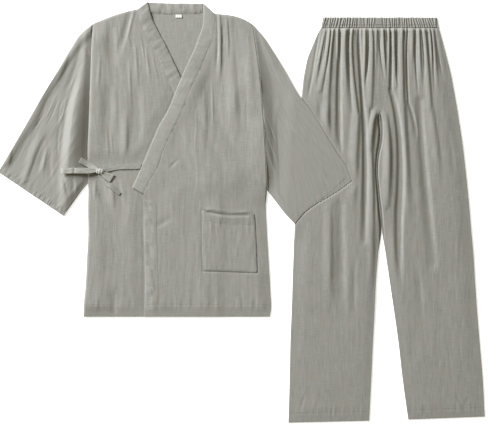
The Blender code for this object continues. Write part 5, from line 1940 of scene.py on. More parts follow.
    def back(self) -> ClothMesh:
        """The back: flat on the floor, its top edge the shoulders and the scooped neckline.

        Across it is spread between the two sides, and down it from the top edge to the hem.

        Returns:
            The mesh.
        """
        top_x, top_d = zip(
            (SIDE_RIGHT[0].x, SIDE_RIGHT[0].d), *NECKLINE, (SIDE_LEFT[0].x, SIDE_LEFT[0].d)
        )
        across = np.linspace(0.0, 1.0, self.back_steps[1] + 1)[None, :]
        down = spread(self.back_steps[0], np.array([self.length]), 2.0)[:, None]
        start = np.interp(top_x[0] + (top_x[-1] - top_x[0]) * across, top_x, top_d)
        d = start + (self.length - start) * down
        left = edge_x(SIDE_RIGHT, np.maximum(d, SIDE_RIGHT[0].d))
        right = edge_x(SIDE_LEFT, np.maximum(d, SIDE_LEFT[0].d))
        x = left + (right - left) * across
        begin, end = self.seen_down
        seen = within(x, *self.seen_across, self.seen_fade)
        seen = seen * (1 - ramp(d, *end)) * ramp(d, *begin)
        wide, long = self.seen_cell
        ripple = self.seen_ripple + self.seen_ripple * lattice(x / wide, d / long, Seed.BACK)
        return layer_mesh(x, d, CLOTH + seen * ripple, 0.0)[0]

    def sleeve(
        self, sections: Sequence[Section], folds: Folds, rows: Sequence[Billow],
        side: Sequence[Edge], out: int, grain: Pair, seed: int,
    ) -> tuple[ClothMesh, Surface]:
        """A sleeve: a flattened tube from the armhole to the cuff, sunk beside the body.

        Its upper face stands over its lower one by its loft and folds, which fall to nothing at
        the armhole, at its two long edges and at the cuff. Over the trousers it is lifted, and
        the lift ramps up beside them.

        Args:
            sections: Lines from its outer edge to its underarm.
            folds: Its folds.
            rows: How it stands up beside the body.
            side: The body's side that it is sewn to.
            out: 1 where it lies right of the body and -1 where left.
            grain: The way that its warp runs, as x and d.
            seed: Picks its unevenness.

        Returns:
            The mesh and its upper face.
        """
        x, d = panel_points(sections, *self.sleeve_steps, margin=4.0)
        along = np.linspace(0, 1, len(x))[:, None]
        bend = edge_x(side, d[:1]) + out * self.armhole_gap - x[:1]
        x = x + (1 - ramp(along, 0, self.armhole_bend)) * bend
        outer, inner_side, armhole, cuff = edge_distances(x, d)
        side_x, side_d = self.trousers_side
        lean = (d - side_d) * self.trousers_lean[0] / self.trousers_lean[1]
        beside_trousers = side_x - lean - x
        lift = self.sleeve_lift * (1 - ramp(beside_trousers, *self.lift_runout))
        low = lift if out > 0 else 0 * x
        beside = np.abs(x - edge_x(side, np.clip(d, side[0].d, self.underarm_right)))
        run, way = x * grain[0] + d * grain[1], x * grain[1] - d * grain[0]
        reach = smooth([row.d for row in rows], [row.reach for row in rows], d)
        calm = eased(self.calm_share, beside, self.calm_from * reach, reach)
        relief = fold_height(x, d, folds) + calm * self.crinkle.height(way, run, seed)
        hem = hem_relief(cuff, self.cuff_hem, way, self.crinkle, seed + 5)
        if out > 0:
            level = self.valley + self.climb * ramp(beside - reach, 0, self.climb_width) - low
            level = level * ramp(beside, 0.5 * reach, reach) + self.cuff_relief[0] * hem
            seam, rounding = eased(self.hidden_armhole, armhole, 0, 2), self.rim_roll
            edge, fold = eased(self.outer_share, outer, 0, self.outer_width), self.cuff_rolls[0]
        else:
            round_top = self.shoulder_round * (1 - ramp(d, *self.shoulder_down))
            level = self.sleeve_loft * ramp(beside, *self.side_rise) + self.cuff_relief[1] * hem
            crown = 1 - ramp(outer, 1 + round_top, self.rim_width + round_top)
            crown = crown * eased(self.crown_share, d, *self.crown_down)
            level = level + self.rim * crown * ramp(cuff, *self.crown_cuff)
            seam, rounding = ramp(armhole, 0, 4), self.rim_roll + round_top
            edge, fold = 1.0, self.cuff_rolls[1]
        loft = soft_floor(level + self.billow(rows, beside, d, out) + relief) * seam * edge
        at_underarm, at_cuff = self.seam_shares
        loft = loft * eased(at_underarm, inner_side, 0, self.end_width)
        loft = loft * eased(at_cuff, cuff, 0, self.end_width)
        row_at, row_reach, row_pitch = self.cuff_row
        loft = loft + self.crinkle.pucker(
            cuff - row_at, way, row_reach, row_pitch, self.cuff_pucker, seed + 8
        )
        loft = np.maximum(loft, 0) * rolled(outer, rounding) * rolled(inner_side, self.edge_roll)
        loft = loft * rolled(cuff, fold)
        roof = low + LAYER + loft
        high = roof + upright(x, d, roof, CLOTH)
        shown = [np.stack([x, d, z], axis=-1) for z in (high, low)]
        inset_x, inset_d = x.copy(), d.copy()
        for column, neighbour in ((0, 1), (-1, -2)):
            run_x, run_d = x[:, neighbour] - x[:, column], d[:, neighbour] - d[:, column]
            length = np.hypot(run_x, run_d)
            inset_x[:, column] += run_x / length * 0.5 * CLOTH
            inset_d[:, column] += run_d / length * 0.5 * CLOTH
        hidden = [np.stack([inset_x, inset_d, z], axis=-1) for z in (roof, low + CLOTH)]
        outer_ring, inner_ring = (
            np.concatenate([upper, lower[:, :: -self.lower_stride], upper[:, :1]], axis=1)
            for upper, lower in (shown, hidden)
        )
        flat = np.stack([run_lengths(outer_ring, 1), run_lengths(outer_ring, 0)], axis=-1) * MM
        return tube_mesh(outer_ring, inner_ring, flat), Surface(x, d, high)

    def band(self, strip: Sequence[Strip], covered: float, puff: float, pucker: float,
             seed: int) -> ClothMesh:
        """A stretch of the collar: doubled cloth between a folded and a sewn edge.

        Its top is domed a little, rolls down at the folded edge, sinks at the seam, and has
        soft puckers across it.

        Args:
            strip: Its two edges, from its start to its end.
            covered: Depth past which it goes under other cloth, where it lies calm.
            puff: Height of its dome.
            pucker: Height of its puckers.
            seed: Picks its puckers.

        Returns:
            The mesh.
        """
        table = np.array(strip, float)
        middle = (table[:, :2] + table[:, 3:5]) / 2
        run = np.concatenate([[0.0], np.cumsum(np.hypot(*np.diff(middle, axis=0).T))])
        at = np.linspace(0.0, run[-1], 4 + int(run[-1] / self.band_step))
        inner_x, inner_d, inner_z, outer_x, outer_d, outer_z = (
            smooth(run, column, at)[:, None] for column in table.T
        )
        across = spread(self.band_columns, np.array([self.band_width]), 2.0)[None, :]
        x = inner_x + (outer_x - inner_x) * across
        d = inner_d + (outer_d - inner_d) * across
        low = inner_z + (outer_z - inner_z) * across
        width = np.hypot(outer_x - inner_x, outer_d - inner_d)
        from_fold, from_seam = across * width, (1 - across) * width
        shown = 1 - ramp(d, covered - self.covered_fade, covered)
        (long, wide), (short, narrow) = self.pleat_cells
        pleats = pucker * lattice(at[:, None] / long, across * wide, seed)
        pleats = pleats + 0.5 * pucker * lattice(at[:, None] / short, across * narrow, seed + 1)
        pleats = pleats * (self.pleats_covered + (1 - self.pleats_covered) * shown)
        at_fold = self.band_fold + (1 - self.band_fold) * rolled(from_fold, self.band_fold_roll)
        top = BAND * at_fold - self.band_sink * (1 - ramp(from_seam, *self.sink_from))
        top = top + (puff * 4 * across * (1 - across) + pleats) * shown
        flat = np.stack(np.broadcast_arrays(from_fold, at[:, None]), axis=-1) * MM
        return layer_mesh(x, d, low + np.maximum(top, self.least_band), low, flat)[0]

    def pocket(self) -> tuple[ClothMesh, Surface]:
        """The patch pocket: on the over front, its opening edge hemmed, drooping and gaping.

        Its lower face is the front's upper one, a gap and the gape, which is highest at the
        middle of the opening. Along the sewn sides it sinks into a groove.

        Returns:
            The mesh and its upper face.
        """
        x, d = panel_points(POCKET_SECTIONS, *self.pocket_steps, margin=3.0)
        left, right, opening, bottom = edge_distances(x, d)
        across = (x - x[:, :1]) / (x[:, -1:] - x[:, :1])
        droop = self.pocket_droop * within(across, *self.droop_across)
        d = d + droop * (1 - ramp(opening, 0, self.droop_depth))
        corner = 1 - ramp(right, 0, self.pocket_corner)
        corner = corner * (1 - ramp(bottom, 0, self.pocket_corner))
        x, d = x - self.corner_drawn_in[0] * corner, d - self.corner_drawn_in[1] * corner
        gape = self.pocket_gape * 4 * across * (1 - across)
        gape = gape * (1 - ramp(opening, *self.gape_down))
        base = self.over_front(x, d) + CLOTH + self.pocket_room + gape
        sewn = np.minimum(np.minimum(left, right), bottom)
        rise, groove = self.seam_lift, self.seam_groove
        lift = rise[0] * ramp(sewn, *rise[1:]) - groove[0] * bump(sewn, *groove[1:])
        doubled = 1 - ramp(opening, self.pocket_hem - 2, self.pocket_hem)
        lift = lift + self.pocket_hem_lift * doubled
        lift = lift - self.pocket_hem_groove * bump(
            opening, self.pocket_hem, self.pocket_hem_width
        )
        (much, wide, long), (less, narrow, short) = self.pocket_waves
        lift = lift + ramp(sewn, *self.pocket_free) * (
            self.pocket_loft + much * lattice(x / wide, d / long, Seed.POCKET)
            + less * lattice(x / narrow, d / short, Seed.POCKET + 1)
            + fold_height(x, d, POCKET_FOLDS)
        )
        lift = lift + self.crinkle.pucker(
            sewn, x + d, *self.pocket_row, self.pocket_pucker, Seed.POCKET_SEAM
        )
        low = base + np.maximum(lift, 0)
        high = low + upright(x, d, low, CLOTH) * eased(
            self.sewn_share, sewn, 0, self.sewn_width
        )
        return layer_mesh(x, d, high, low)

    def label(self) -> ClothMesh:
        """The bare neck label: a small folded tape, bowed a little along its length.

        Returns:
            The mesh.
        """
        down = np.linspace(-0.5, 0.5, self.label_steps[0] + 1)[:, None]
        across = np.linspace(-0.5, 0.5, self.label_steps[1] + 1)[None, :]
        x, d = np.broadcast_arrays(
            self.label_at[0] + self.label_size[0] * across,
            self.label_at[1] + self.label_size[1] * down,
        )
        ripple = self.label_ripple * lattice(x / 4, d / 4, Seed.LABEL)
        low = LAYER + self.label_lift * bump(down, 0.5, 1.0) + ripple
        return layer_mesh(x, d, low + self.label_wall, low)[0]

    def line(self, edge: Sequence[Edge], inside: float, start: float, end: float) -> Array:
        """A route beside an edge.

        Args:
            edge: The edge.
            inside: How far to its right the route is.
            start: The depth where it starts.
            end: The depth where it ends.

        Returns:
            Places (x, d) along it.
        """
        d = np.linspace(start, end, self.route_steps)
        return np.column_stack([edge_x(edge, d) + inside, d])

    def build(self, cloth: bpy.types.Material, thread: bpy.types.Material,
              satin: bpy.types.Material) -> None:
        """Makes every piece of the jacket and sews it.

        Args:
            cloth: The gauze.
            thread: The sewing thread.
            satin: The label's tape.
        """
        under_rows, over_rows = self.front_rows
        under, under_top = self.panel(
            FRONT_RIGHT_SECTIONS, self.under_front, under_rows, left_edge=SIDE_RIGHT
        )
        over, over_top = self.panel(
            FRONT_LEFT_SECTIONS, self.over_front, over_rows, right_edge=SIDE_LEFT
        )
        sleeve_right, right_top = self.sleeve(
            SLEEVE_RIGHT_SECTIONS, SLEEVE_RIGHT_FOLDS, BILLOW_RIGHT, SIDE_RIGHT, -1,
            self.grain_right, Seed.SLEEVE_RIGHT,
        )
        sleeve_left, left_top = self.sleeve(
            SLEEVE_LEFT_SECTIONS, SLEEVE_LEFT_FOLDS, BILLOW_LEFT, SIDE_LEFT, 1,
            self.grain_left, Seed.SLEEVE_LEFT,
        )
        pocket, pocket_top = self.pocket()
        collar_right = self.band(COLLAR_RIGHT_STRIP, 205, 0.5, 0.5, Seed.COLLAR_RIGHT)
        collar_left = self.band(COLLAR_LEFT_STRIP, NEVER, 0.5, 0.42, Seed.COLLAR_LEFT)
        collar_back = self.band(COLLAR_BACK_STRIP, NEVER, 0.7, 0.9, Seed.COLLAR_BACK)

        hem_under, hem_over = (
            np.array([[x, self.length - self.hem] for x in span])
            for span in (HEM_UNDER_SPAN, HEM_OVER_SPAN)
        )
        facing = self.line(SEAM_OVER, self.facing, *FACING_SPAN)
        seams = {
            "under": [(hem_under, under_top)],
            "over": [(hem_over, over_top), (facing, over_top)],
            "sleeve_right": [(CUFF_RIGHT_ROW, right_top)],
            "sleeve_left": [(CUFF_LEFT_ROW, left_top)],
            "pocket": [(POCKET_EDGE_ROW, pocket_top), (POCKET_HEM_ROW, pocket_top)],
        }
        threads = self.stitching.sew(seams, self.placing, Slot.JACKET, thread)
        on_back, on_under, on_over = (
            ("jacket_back",), ("jacket_front_right",), ("jacket_front_left",)
        )
        parts = (
            Part("back_panel", "jacket_back", self.back(), (452, 752, 322000)),
            Part("under_front_panel", "jacket_front_right", under, (325, 745, 202000),
                 rests_on=on_back, sewn="under"),
            Part("over_front_panel", "jacket_front_left", over, (320, 742, 186000),
                 rests_on=on_under, sewn="over"),
            Part("sleeve_tube_right", "sleeve_right", sleeve_right, (760, 300, 110000),
                 sewn="sleeve_right"),
            Part("sleeve_tube_left", "sleeve_left", sleeve_left, (795, 290, 108000),
                 rests_on=("trousers_front_right",), sewn="sleeve_left"),
            Part("collar_band_right", "collar_right", collar_right, (62, 445, 14500),
                 Held.FOLDED, on_under),
            Part("collar_band_left", "collar_left", collar_left, (62, 480, 16000),
                 Held.FOLDED, on_over),
            Part("collar_band_back", "collar_back", collar_back, (55, 130, 3700),
                 Held.FOLDED, on_back),
            Part("patch_pocket", "pocket", pocket, (132, 165, 19500), rests_on=on_over,
                 sewn="pocket"),
        )
        for part in parts:
            part.add(self.placing, Slot.JACKET, cloth, threads)
        label = Part("neck_label_tape", "neck_label", self.label(), (15, 10, 112.5),
                     Held.FOLDED, on_back)
        label.add(self.placing, Slot.LABEL, satin, threads)


@dataclass
class Bow:
    """The side tie: two tapes of folded cloth tied in a bow with two loops and two ends."""

    placing: Placing = JACKET_AT
    wall: float = 1.0
    width: float = 13.5
    opened_width: float = 20.0
    step: float = 0.9
    columns: int = 10
    inner_half: float = 0.42
    edge_half: float = 0.485
    fine_crease: float = 0.14
    crease_cells: tuple[Pair, Pair] = ((9.0, 3.5), (3.5, 3.0))
    edge_thinning: float = 0.16
    thin_from: float = 0.44
    stitched_ridge: float = 0.12
    ridge_place: Pair = (0.4, 0.1)
    ridge_sunk: float = 0.05
    waver: float = 0.025
    waver_cell: float = 5.0
    least_stations: int = 6
    knot_at: Triple = (-186.5, 406.5, 7.8)
    knot_radii: Triple = (10.0, 7.2, 4.2)
    knot_steps: tuple[int, int] = (48, 64)
    knot_end: float = 0.16
    knot_blunt: float = 0.6
    knot_crease: float = 0.25
    knot_turns: Triple = (1.55, 1.1, 0.5)
    knot_drawn_in: float = 0.8
    knot_sharp: float = 0.6
    knot_uneven: float = 0.04
    knot_cells: Pair = (6.0, 1.9)
    knot_slant: float = 1.5
    knot_hollow: float = 0.55
    knot_inside: float = 0.96

    def tape(self, route: Sequence[Station], seed: int, crease: float = 0.22) -> ClothMesh:
        """A flat tape carried along its stations.

        Its section is a strip as wide as the tape, doubled and stitched at its edges, so that
        they stand up a little; it wavers by less than half its thickness along the way.

        Args:
            route: Places, widths and the ways that the tape lies.
            seed: Picks its unevenness.
            crease: Height of its creases.

        Returns:
            The mesh.
        """
        table = np.array(route, float)
        run = np.concatenate(
            [[0.0], np.cumsum(np.linalg.norm(np.diff(table[:, :3], axis=0), axis=1))]
        )
        at = np.linspace(0.0, run[-1], self.least_stations + int(run[-1] / self.step))
        x, d, z, width, wide_x, wide_d = (smooth(run, column, at) for column in table.T)
        centre = np.column_stack([x, d, z])
        way = np.gradient(centre, axis=0)
        wide = np.column_stack([wide_x, wide_d, 0 * z]) / np.hypot(wide_x, wide_d)[:, None]
        normal = np.cross(way, wide)
        normal /= np.linalg.norm(normal, axis=1)[:, None]
        inner = np.linspace(-self.inner_half, self.inner_half, self.columns - 1)
        across = np.concatenate([[-0.5, -self.edge_half], inner, [self.edge_half, 0.5]])[None, :]
        (long, coarse), (short, fine) = self.crease_cells
        wavy = crease * lattice(at[:, None] / long, across * coarse, seed)
        wavy = wavy + self.fine_crease * lattice(at[:, None] / short, across * fine, seed + 1)
        out = np.abs(across)
        thick = self.wall * (0.5 - self.edge_thinning * ramp(out, self.thin_from, 0.5))
        thick = thick + self.stitched_ridge * bump(out, *self.ridge_place) - self.ridge_sunk
        nibble = 1 + self.waver * lattice(at / self.waver_cell, 0 * at, seed + 2)
        spread_out = (
            centre[:, None, :] + (across * (width * nibble)[:, None])[..., None] * wide[:, None, :]
        )
        over = spread_out + (thick + wavy)[..., None] * normal[:, None, :]
        under = spread_out + (wavy - thick)[..., None] * normal[:, None, :]
        flat = np.stack(np.broadcast_arrays(across * width[:, None], at[:, None]), axis=-1) * MM
        return wall_mesh(over, under, flat)

    def knot(self) -> ClothMesh:
        """The knot: tape drawn tight round the two loops.

        Rings round the knot's long axis, larger to the middle as a blunt egg's are, each drawn in
        by sharp slant creases that run round it between three rounded turns of tape.

        Returns:
            The mesh, closed at its two ends by small flat squares.
        """
        rings, sides = self.knot_steps
        tilt = np.linspace(self.knot_end, np.pi - self.knot_end, rings + 1)[:, None]
        turn = np.linspace(0, 2 * np.pi, sides + 1)[None, :]
        along = np.cos(tilt)
        turns, lean, sway = self.knot_turns
        lobes = np.abs(np.cos(turns * np.pi * along + lean * np.sin(turn) + sway * np.cos(turn)))
        lengthwise, round_it = self.knot_cells
        uneven = self.knot_uneven * lattice(lengthwise * along, turn * round_it, Seed.KNOT)
        crease = self.knot_drawn_in + self.knot_crease * lobes**self.knot_sharp + uneven
        a, b, c = self.knot_radii
        blunt = np.sin(tilt) ** self.knot_blunt
        x = self.knot_at[0] + a * along + self.knot_slant * np.sin(turn) * np.sin(tilt)
        d = self.knot_at[1] + b * blunt * np.cos(turn) * crease
        z = self.knot_at[2] + c * blunt * np.sin(turn) * crease
        ring = np.stack([x, d, z], axis=-1)
        middle = ring.mean(axis=1, keepdims=True)
        inner = middle + self.knot_hollow * (ring - middle)
        inner[..., 0] = self.knot_at[0] + self.knot_inside * (inner[..., 0] - self.knot_at[0])
        flat = np.stack([run_lengths(ring, 1), run_lengths(ring, 0)], axis=-1) * MM
        return tube_mesh(ring, inner, flat)

    def build(self, pressed: bpy.types.Material, cloth: bpy.types.Material) -> None:
        """Makes the tapes and the knot.

        Args:
            pressed: A paler copy of the gauze, painted light for the tapes and the knot that catch
                the light.
            cloth: The gauze as in the rest of the jacket.
        """
        tapes = (
            ("tape_over_front", "tie_front", TIE_FRONT, (94, 930), 0.2, "jacket_front_right"),
            ("tape_at_side", "tie_side", TIE_SIDE, (16, 118), 0.2, "jacket_front_right"),
            ("loop_left", "bow_loop_left", LOOP_LEFT, (173, 2180), 0.2, "sleeve_right"),
            ("loop_right", "bow_loop_right", LOOP_RIGHT, (65, 920), 0.2, "jacket_front_right"),
            ("free_end_up", "bow_end_up", END_UP, (50, 600), 0.2, "sleeve_right"),
            ("free_end_down", "bow_end_down", END_DOWN, (76, 620), 0.3, "jacket_front_right"),
        )
        # The paler gauze is painted light on the tapes and the knot that catch the light; the free
        # end down and the tape over the front lie in shade and keep the plain gauze.
        for k, (name, node, route, (length, area), crease, under) in enumerate(tapes):
            width = self.opened_width if name == "loop_right" else self.width
            add_cloth(
                name, node, self.tape(route, Seed.TAPES + 10 * k, crease), self.placing,
                cloth if name in ("free_end_down", "tape_over_front") else pressed,
                Cut(width, length, area, Held.FOLDED, (under,)),
            )
        add_cloth(
            "knot_wrap", "bow_knot", self.knot(), self.placing, pressed,
            Cut(16, 40, 600, Held.FOLDED, ("tie_front", "tie_side")),
        )


@dataclass
class Trousers:
    """The elastic-waist trousers: two fronts over two backs, and a gathered waistband."""

    placing: Placing = TROUSERS_AT
    legs_part_at: float = 507.5
    seam: float = 0.5
    crinkle: Crinkle = Crinkle(swell=0.55, streak=0.15, fine=0.1)
    stitching: Stitching = Stitching()
    # The fronts: their level, edges and hem
    loft: float = 4.6
    hem_loft: float = 1.4
    level_from: float = 420.0
    level_to: float = 800.0
    hem: float = 23.0
    edge_roll: float = 3.0
    hem_roll: float = 2.6
    inseam_roll: float = 2.2
    crotch: Pair = (218.0, 244.0)
    side_share: float = 0.2
    side_gain: float = 0.6
    side_width: float = 40.0
    inseam_fade: Pair = (470.0, 540.0)
    inseam_width: float = 24.0
    fading_inseam: float = 0.7
    hem_share: float = 0.25
    hem_width: float = 34.0
    waist_share: float = 0.12
    waist_width: float = 8.0
    # The gathers that run out of the waist
    gathers_from: float = 60.0
    gathers_out: Pair = (4.0, 46.0)
    drawn_out: float = 0.35
    pinch: float = 0.8
    pinch_cell: Pair = (2.9, 40.0)
    # Under and beside the sleeve
    press: float = 1.2
    pressed_from: Pair = (-2.2, -0.4)
    beside_sleeve: float = 4.3
    level_beside: Pair = (-90.0, -6.0)
    calm_beside: Pair = (-26.0, -6.0)
    side_beside: Pair = (-50.0, -8.0)
    sleeve_calm: float = 0.8
    # The waistband
    band_bottom: float = 24.1
    band_half_top: float = 136.5
    band_half_bottom: float = 141.0
    band_wall: float = 2.2
    gathers: int = 47
    gather_height: float = 1.8
    gather_slack: float = 1.25
    gather_blunt: float = 0.8
    ridge_mean: float = 0.82
    ridge_spread: float = 0.34
    ridge_cells: Pair = (31.0, 0.8)
    wanders: tuple[Pair, Pair] = ((0.5, 17.0), (0.34, 6.0))
    band_slant: float = 0.013
    slanted: Pair = (-0.5, 0.15)
    top_waver: Triple = (0.5, 40.0, 0.2)
    plain_part: Pair = (-9.0, 2.2)
    plain_soft: float = 1.8
    plain_height: float = 0.55
    gap_depth: float = 0.5
    top_hold: Pair = (0.55, 0.16)
    wall_shares: Pair = (0.55, 0.45)
    band_roll: float = 4.0
    stitched_at: float = 0.81
    stitch_hold: Pair = (0.62, 0.085)
    seam_hold: Pair = (0.3, 0.92)
    # Steps of the grids
    front_steps: tuple[int, int] = (226, 138)
    back_steps: tuple[int, int] = (90, 26)
    casing_back_steps: tuple[int, int] = (6, 90)
    steps_per_gather: int = 12

    def under_sleeve(self, x: Array, d: Array) -> Array:
        """How far inside the sleeve that lies on the trousers each place is.

        Its outline is the sleeve's outer edge, and its cuff with the bow that panel_points gives.

        Args:
            x: The places' x.
            d: The places' d.

        Returns:
            Ways in mm, below 0 outside the sleeve.
        """
        outer = np.array([row[:2] for row in SLEEVE_LEFT_SECTIONS[2:]], float)
        cuff = SLEEVE_LEFT_SECTIONS[-1]
        s = np.linspace(0.0, 1.0, 17)[1:]
        bow = cuff.bow * (s / cuff.bow_at) ** (cuff.bow_at / (1 - cuff.bow_at))
        cuff_x = cuff.left_x + (cuff.right_x - cuff.left_x) * s
        cuff_d = cuff.left_d + (cuff.right_d - cuff.left_d) * s + bow * (1 - s) / (1 - cuff.bow_at)
        line = np.concatenate([outer, np.column_stack([cuff_x, cuff_d])])
        line = line - np.array(TROUSERS_IN_JACKET)
        return -nearest(x, d, line[:, 0], line[:, 1])[1]

    def folds(self) -> Array:
        """Both legs' folds, with the gathers that fade out below the waist drawn out longer.

        Returns:
            Rows as fold_height reads them.
        """
        table = np.array((*LEG_RIGHT_FOLDS, *LEG_LEFT_FOLDS), float)
        fading = (np.abs(table[:, 10]) < FADING) & (table[:, 1] < self.gathers_from)
        table[fading, 4:6] += self.drawn_out * (table[fading, 4:6] - table[fading, 2:4])
        return table

    def leg_front(self, sections: Sequence[Section], inseam_left: bool,
                  seed: int) -> tuple[ClothMesh, Surface]:
        """A trouser front: gathered at the waist, its folds running out towards the hem.

        Its lower face stands on the back by a level that falls towards the hem, the folds and
        the crinkle. It sinks at the waistband, rolls down at both seams and the hem, and is
        pressed flat under the sleeve.

        Args:
            sections: Lines across it.
            inseam_left: Whether its inseam is its left edge.
            seed: Picks its unevenness.

        Returns:
            The mesh and its upper face.
        """
        x, d = panel_points(sections, *self.front_steps, crowd=0.5, margin=4.0)
        left, right, waist, hem = edge_distances(x, d)
        inseam, outseam = (left, right) if inseam_left else (right, left)
        inside = self.under_sleeve(x, d)
        pressed = ramp(inside, *self.pressed_from)
        level = self.loft + (self.hem_loft - self.loft) * ramp(d, self.level_from, self.level_to)
        level = level + (self.beside_sleeve - level) * ramp(inside, *self.level_beside)
        calm = 1 - self.sleeve_calm * ramp(inside, *self.calm_beside)
        loft = level + fold_height(x, d, self.folds()) * calm
        loft = loft + self.crinkle.height(x, d, seed)
        pinches = lattice(x / self.pinch_cell[0], d / self.pinch_cell[1], seed + 9)
        pinches = self.pinch * (pinches * (1 - ramp(waist, *self.gathers_out)))
        loft = loft + pinches + hem_relief(hem, self.hem, x, self.crinkle, seed + 4)
        parted = ramp(d, *self.crotch)
        height = soft_floor(loft) * rolled(outseam, self.edge_roll)
        at_side = self.side_share + self.side_gain * ramp(inside, *self.side_beside)
        height = height * eased(at_side, outseam, 0, self.side_width)
        flat_inseam = self.fading_inseam * ramp(d, *self.inseam_fade)
        height = height * (1 - flat_inseam * (1 - ramp(inseam, 0, self.inseam_width)))
        height = height * (1 - parted + parted * rolled(inseam, self.inseam_roll))
        height = height * eased(self.hem_share, hem, 0, self.hem_width)
        height = height * eased(self.waist_share, waist, 0, self.waist_width)
        height = height * rolled(hem, self.hem_roll)
        height = height * (1 - pressed) + np.minimum(height, self.press) * pressed
        low = LAYER + height
        return layer_mesh(x, d, low + upright(x, d, low, CLOTH), low)

    def leg_back(self, inseam_left: bool) -> ClothMesh:
        """A trouser back, flat on the floor; the two meet until the legs part.

        Args:
            inseam_left: Whether its inseam is its left edge.

        Returns:
            The mesh.
        """
        meeting = 0.5 * self.seam if inseam_left else -0.5 * self.seam
        sections = []
        left_d = [row.left_d for row in LEG_LEFT_SECTIONS[:-1]]
        pairs = [row for row in LEG_RIGHT_SECTIONS[:-1] if row.left_d in left_d]
        pairs.append(LEG_RIGHT_SECTIONS[-1])
        for row, other in zip(pairs, LEG_LEFT_SECTIONS):
            middle = 0.5 * (row.right_x + other.left_x) + meeting
            joined = row.right_d <= self.legs_part_at
            if inseam_left:
                start = middle if joined else other.left_x
                sections.append(Section(start, other.left_d, other.right_x, other.right_d))
            else:
                end = middle if joined else row.right_x
                sections.append(Section(row.left_x, row.left_d, end, row.right_d))
        return layer_mesh(*panel_points(sections, *self.back_steps), CLOTH, 0.0)[0]

    def waistband(self) -> tuple[ClothMesh, Surface]:
        """The casing over the elastic: uneven ridges and dark gaps, slanting on the left half.

        Across it a wave whose pitch and height wander stands on the casing. Down it the wave is
        full over the elastic, pinched at the row of stitching and gone at the seam.

        Returns:
            The mesh and its upper face.
        """
        across = np.linspace(-1, 1, self.steps_per_gather * self.gathers + 1)[None, :]
        down = np.array(BAND_ROWS)[:, None]
        half = self.band_half_top + (self.band_half_bottom - self.band_half_top) * down
        x, d = half * across, self.band_bottom * down + 0 * across
        waver, cells, reach = self.top_waver
        waver = waver * lattice(across * cells, 0 * down, Seed.CASING)
        d = d + (1 - ramp(down, 0.0, reach)) * waver
        slant = self.band_slant * (1 - ramp(across, *self.slanted)) * (down - 0.5)
        (much, often), (less, seldom) = self.wanders
        wander = much * lattice(across * often, down, Seed.CASING + 1)
        wander = wander + less * lattice(across * seldom, down, Seed.CASING + 2)
        turns = np.pi * self.gathers * (across + slant) + 2 * np.pi * wander
        wave = (0.5 - 0.5 * np.cos(turns)) ** self.gather_blunt
        beside, along = self.ridge_cells
        tall = lattice(across * beside, down * along, Seed.CASING + 3)
        tall = self.ridge_mean + self.ridge_spread * tall
        plain = within(x, *self.plain_part, self.plain_soft)
        wave = (wave * tall) * (1 - plain) + self.plain_height * plain
        hold = eased(self.top_hold[0], down, 0.0, self.top_hold[1])
        pinched, half_row = self.stitch_hold
        hold = hold * (1 - pinched * bump(down, self.stitched_at, half_row))
        hold = hold * (1 - self.seam_hold[0] * ramp(down, self.seam_hold[1], 1.0))
        edge = rolled(half * (1 - np.abs(across)), self.band_roll)
        low = LAYER + 0 * x
        thin, rest = self.wall_shares
        high = low + self.band_wall * (thin + rest * hold)
        high = high + self.gather_height * wave * hold * edge
        high = high - self.gap_depth * (1 - wave) * hold * (1 - plain)
        let_out = self.gather_slack * run_lengths(np.stack([x, d, high], axis=-1), 1)
        return layer_mesh(x, d, high, low, np.stack([let_out, d], axis=-1) * MM)

    def waistband_back(self) -> ClothMesh:
        """The casing's back half, flat on the floor.

        Returns:
            The mesh.
        """
        down = np.linspace(0, 1, self.casing_back_steps[0] + 1)[:, None]
        across = np.linspace(-1, 1, self.casing_back_steps[1] + 1)[None, :]
        half = self.band_half_top + (self.band_half_bottom - self.band_half_top) * down
        x, d = half * across, self.band_bottom * down + 0 * across
        return layer_mesh(x, d, CLOTH, 0.0)[0]

    def build(self, cloth: bpy.types.Material, thread: bpy.types.Material) -> None:
        """Makes every piece of the trousers and sews it.

        Args:
            cloth: The gauze.
            thread: The sewing thread.
        """
        right, right_top = self.leg_front(LEG_RIGHT_SECTIONS, False, Seed.LEGS)
        left, left_top = self.leg_front(LEG_LEFT_SECTIONS, True, Seed.LEGS)
        band, band_top = self.waistband()
        elastic = np.array([[x, self.stitched_at * self.band_bottom] for x in CASING_SPAN])
        seams = {
            "leg_right": [(LEG_RIGHT_ROW, right_top)], "leg_left": [(LEG_LEFT_ROW, left_top)],
            "waistband": [(elastic, band_top)],
        }
        threads = self.stitching.sew(seams, self.placing, Slot.TROUSERS, thread)
        parts = (
            Part("leg_front_right", "trousers_front_right", right, (222, 950, 190000),
                 Held.GATHERED, ("trousers_back_right",), "leg_right"),
            Part("leg_front_left", "trousers_front_left", left, (258, 945, 186000),
                 Held.GATHERED, ("trousers_back_left",), "leg_left"),
            Part("leg_back_right", "trousers_back_right", self.leg_back(False),
                 (230, 948, 182000)),
            Part("leg_back_left", "trousers_back_left", self.leg_back(True), (256, 941, 178000)),
            Part("waist_casing_front", "waistband_front", band, (400, 27, 10800), Held.GATHERED,
                 ("waistband_back",), "waistband"),
            Part("waist_casing_back", "waistband_back", self.waistband_back(),
                 (282, 24.1, 6700)),
        )
        for part in parts:
            part.add(self.placing, Slot.TROUSERS, cloth, threads)


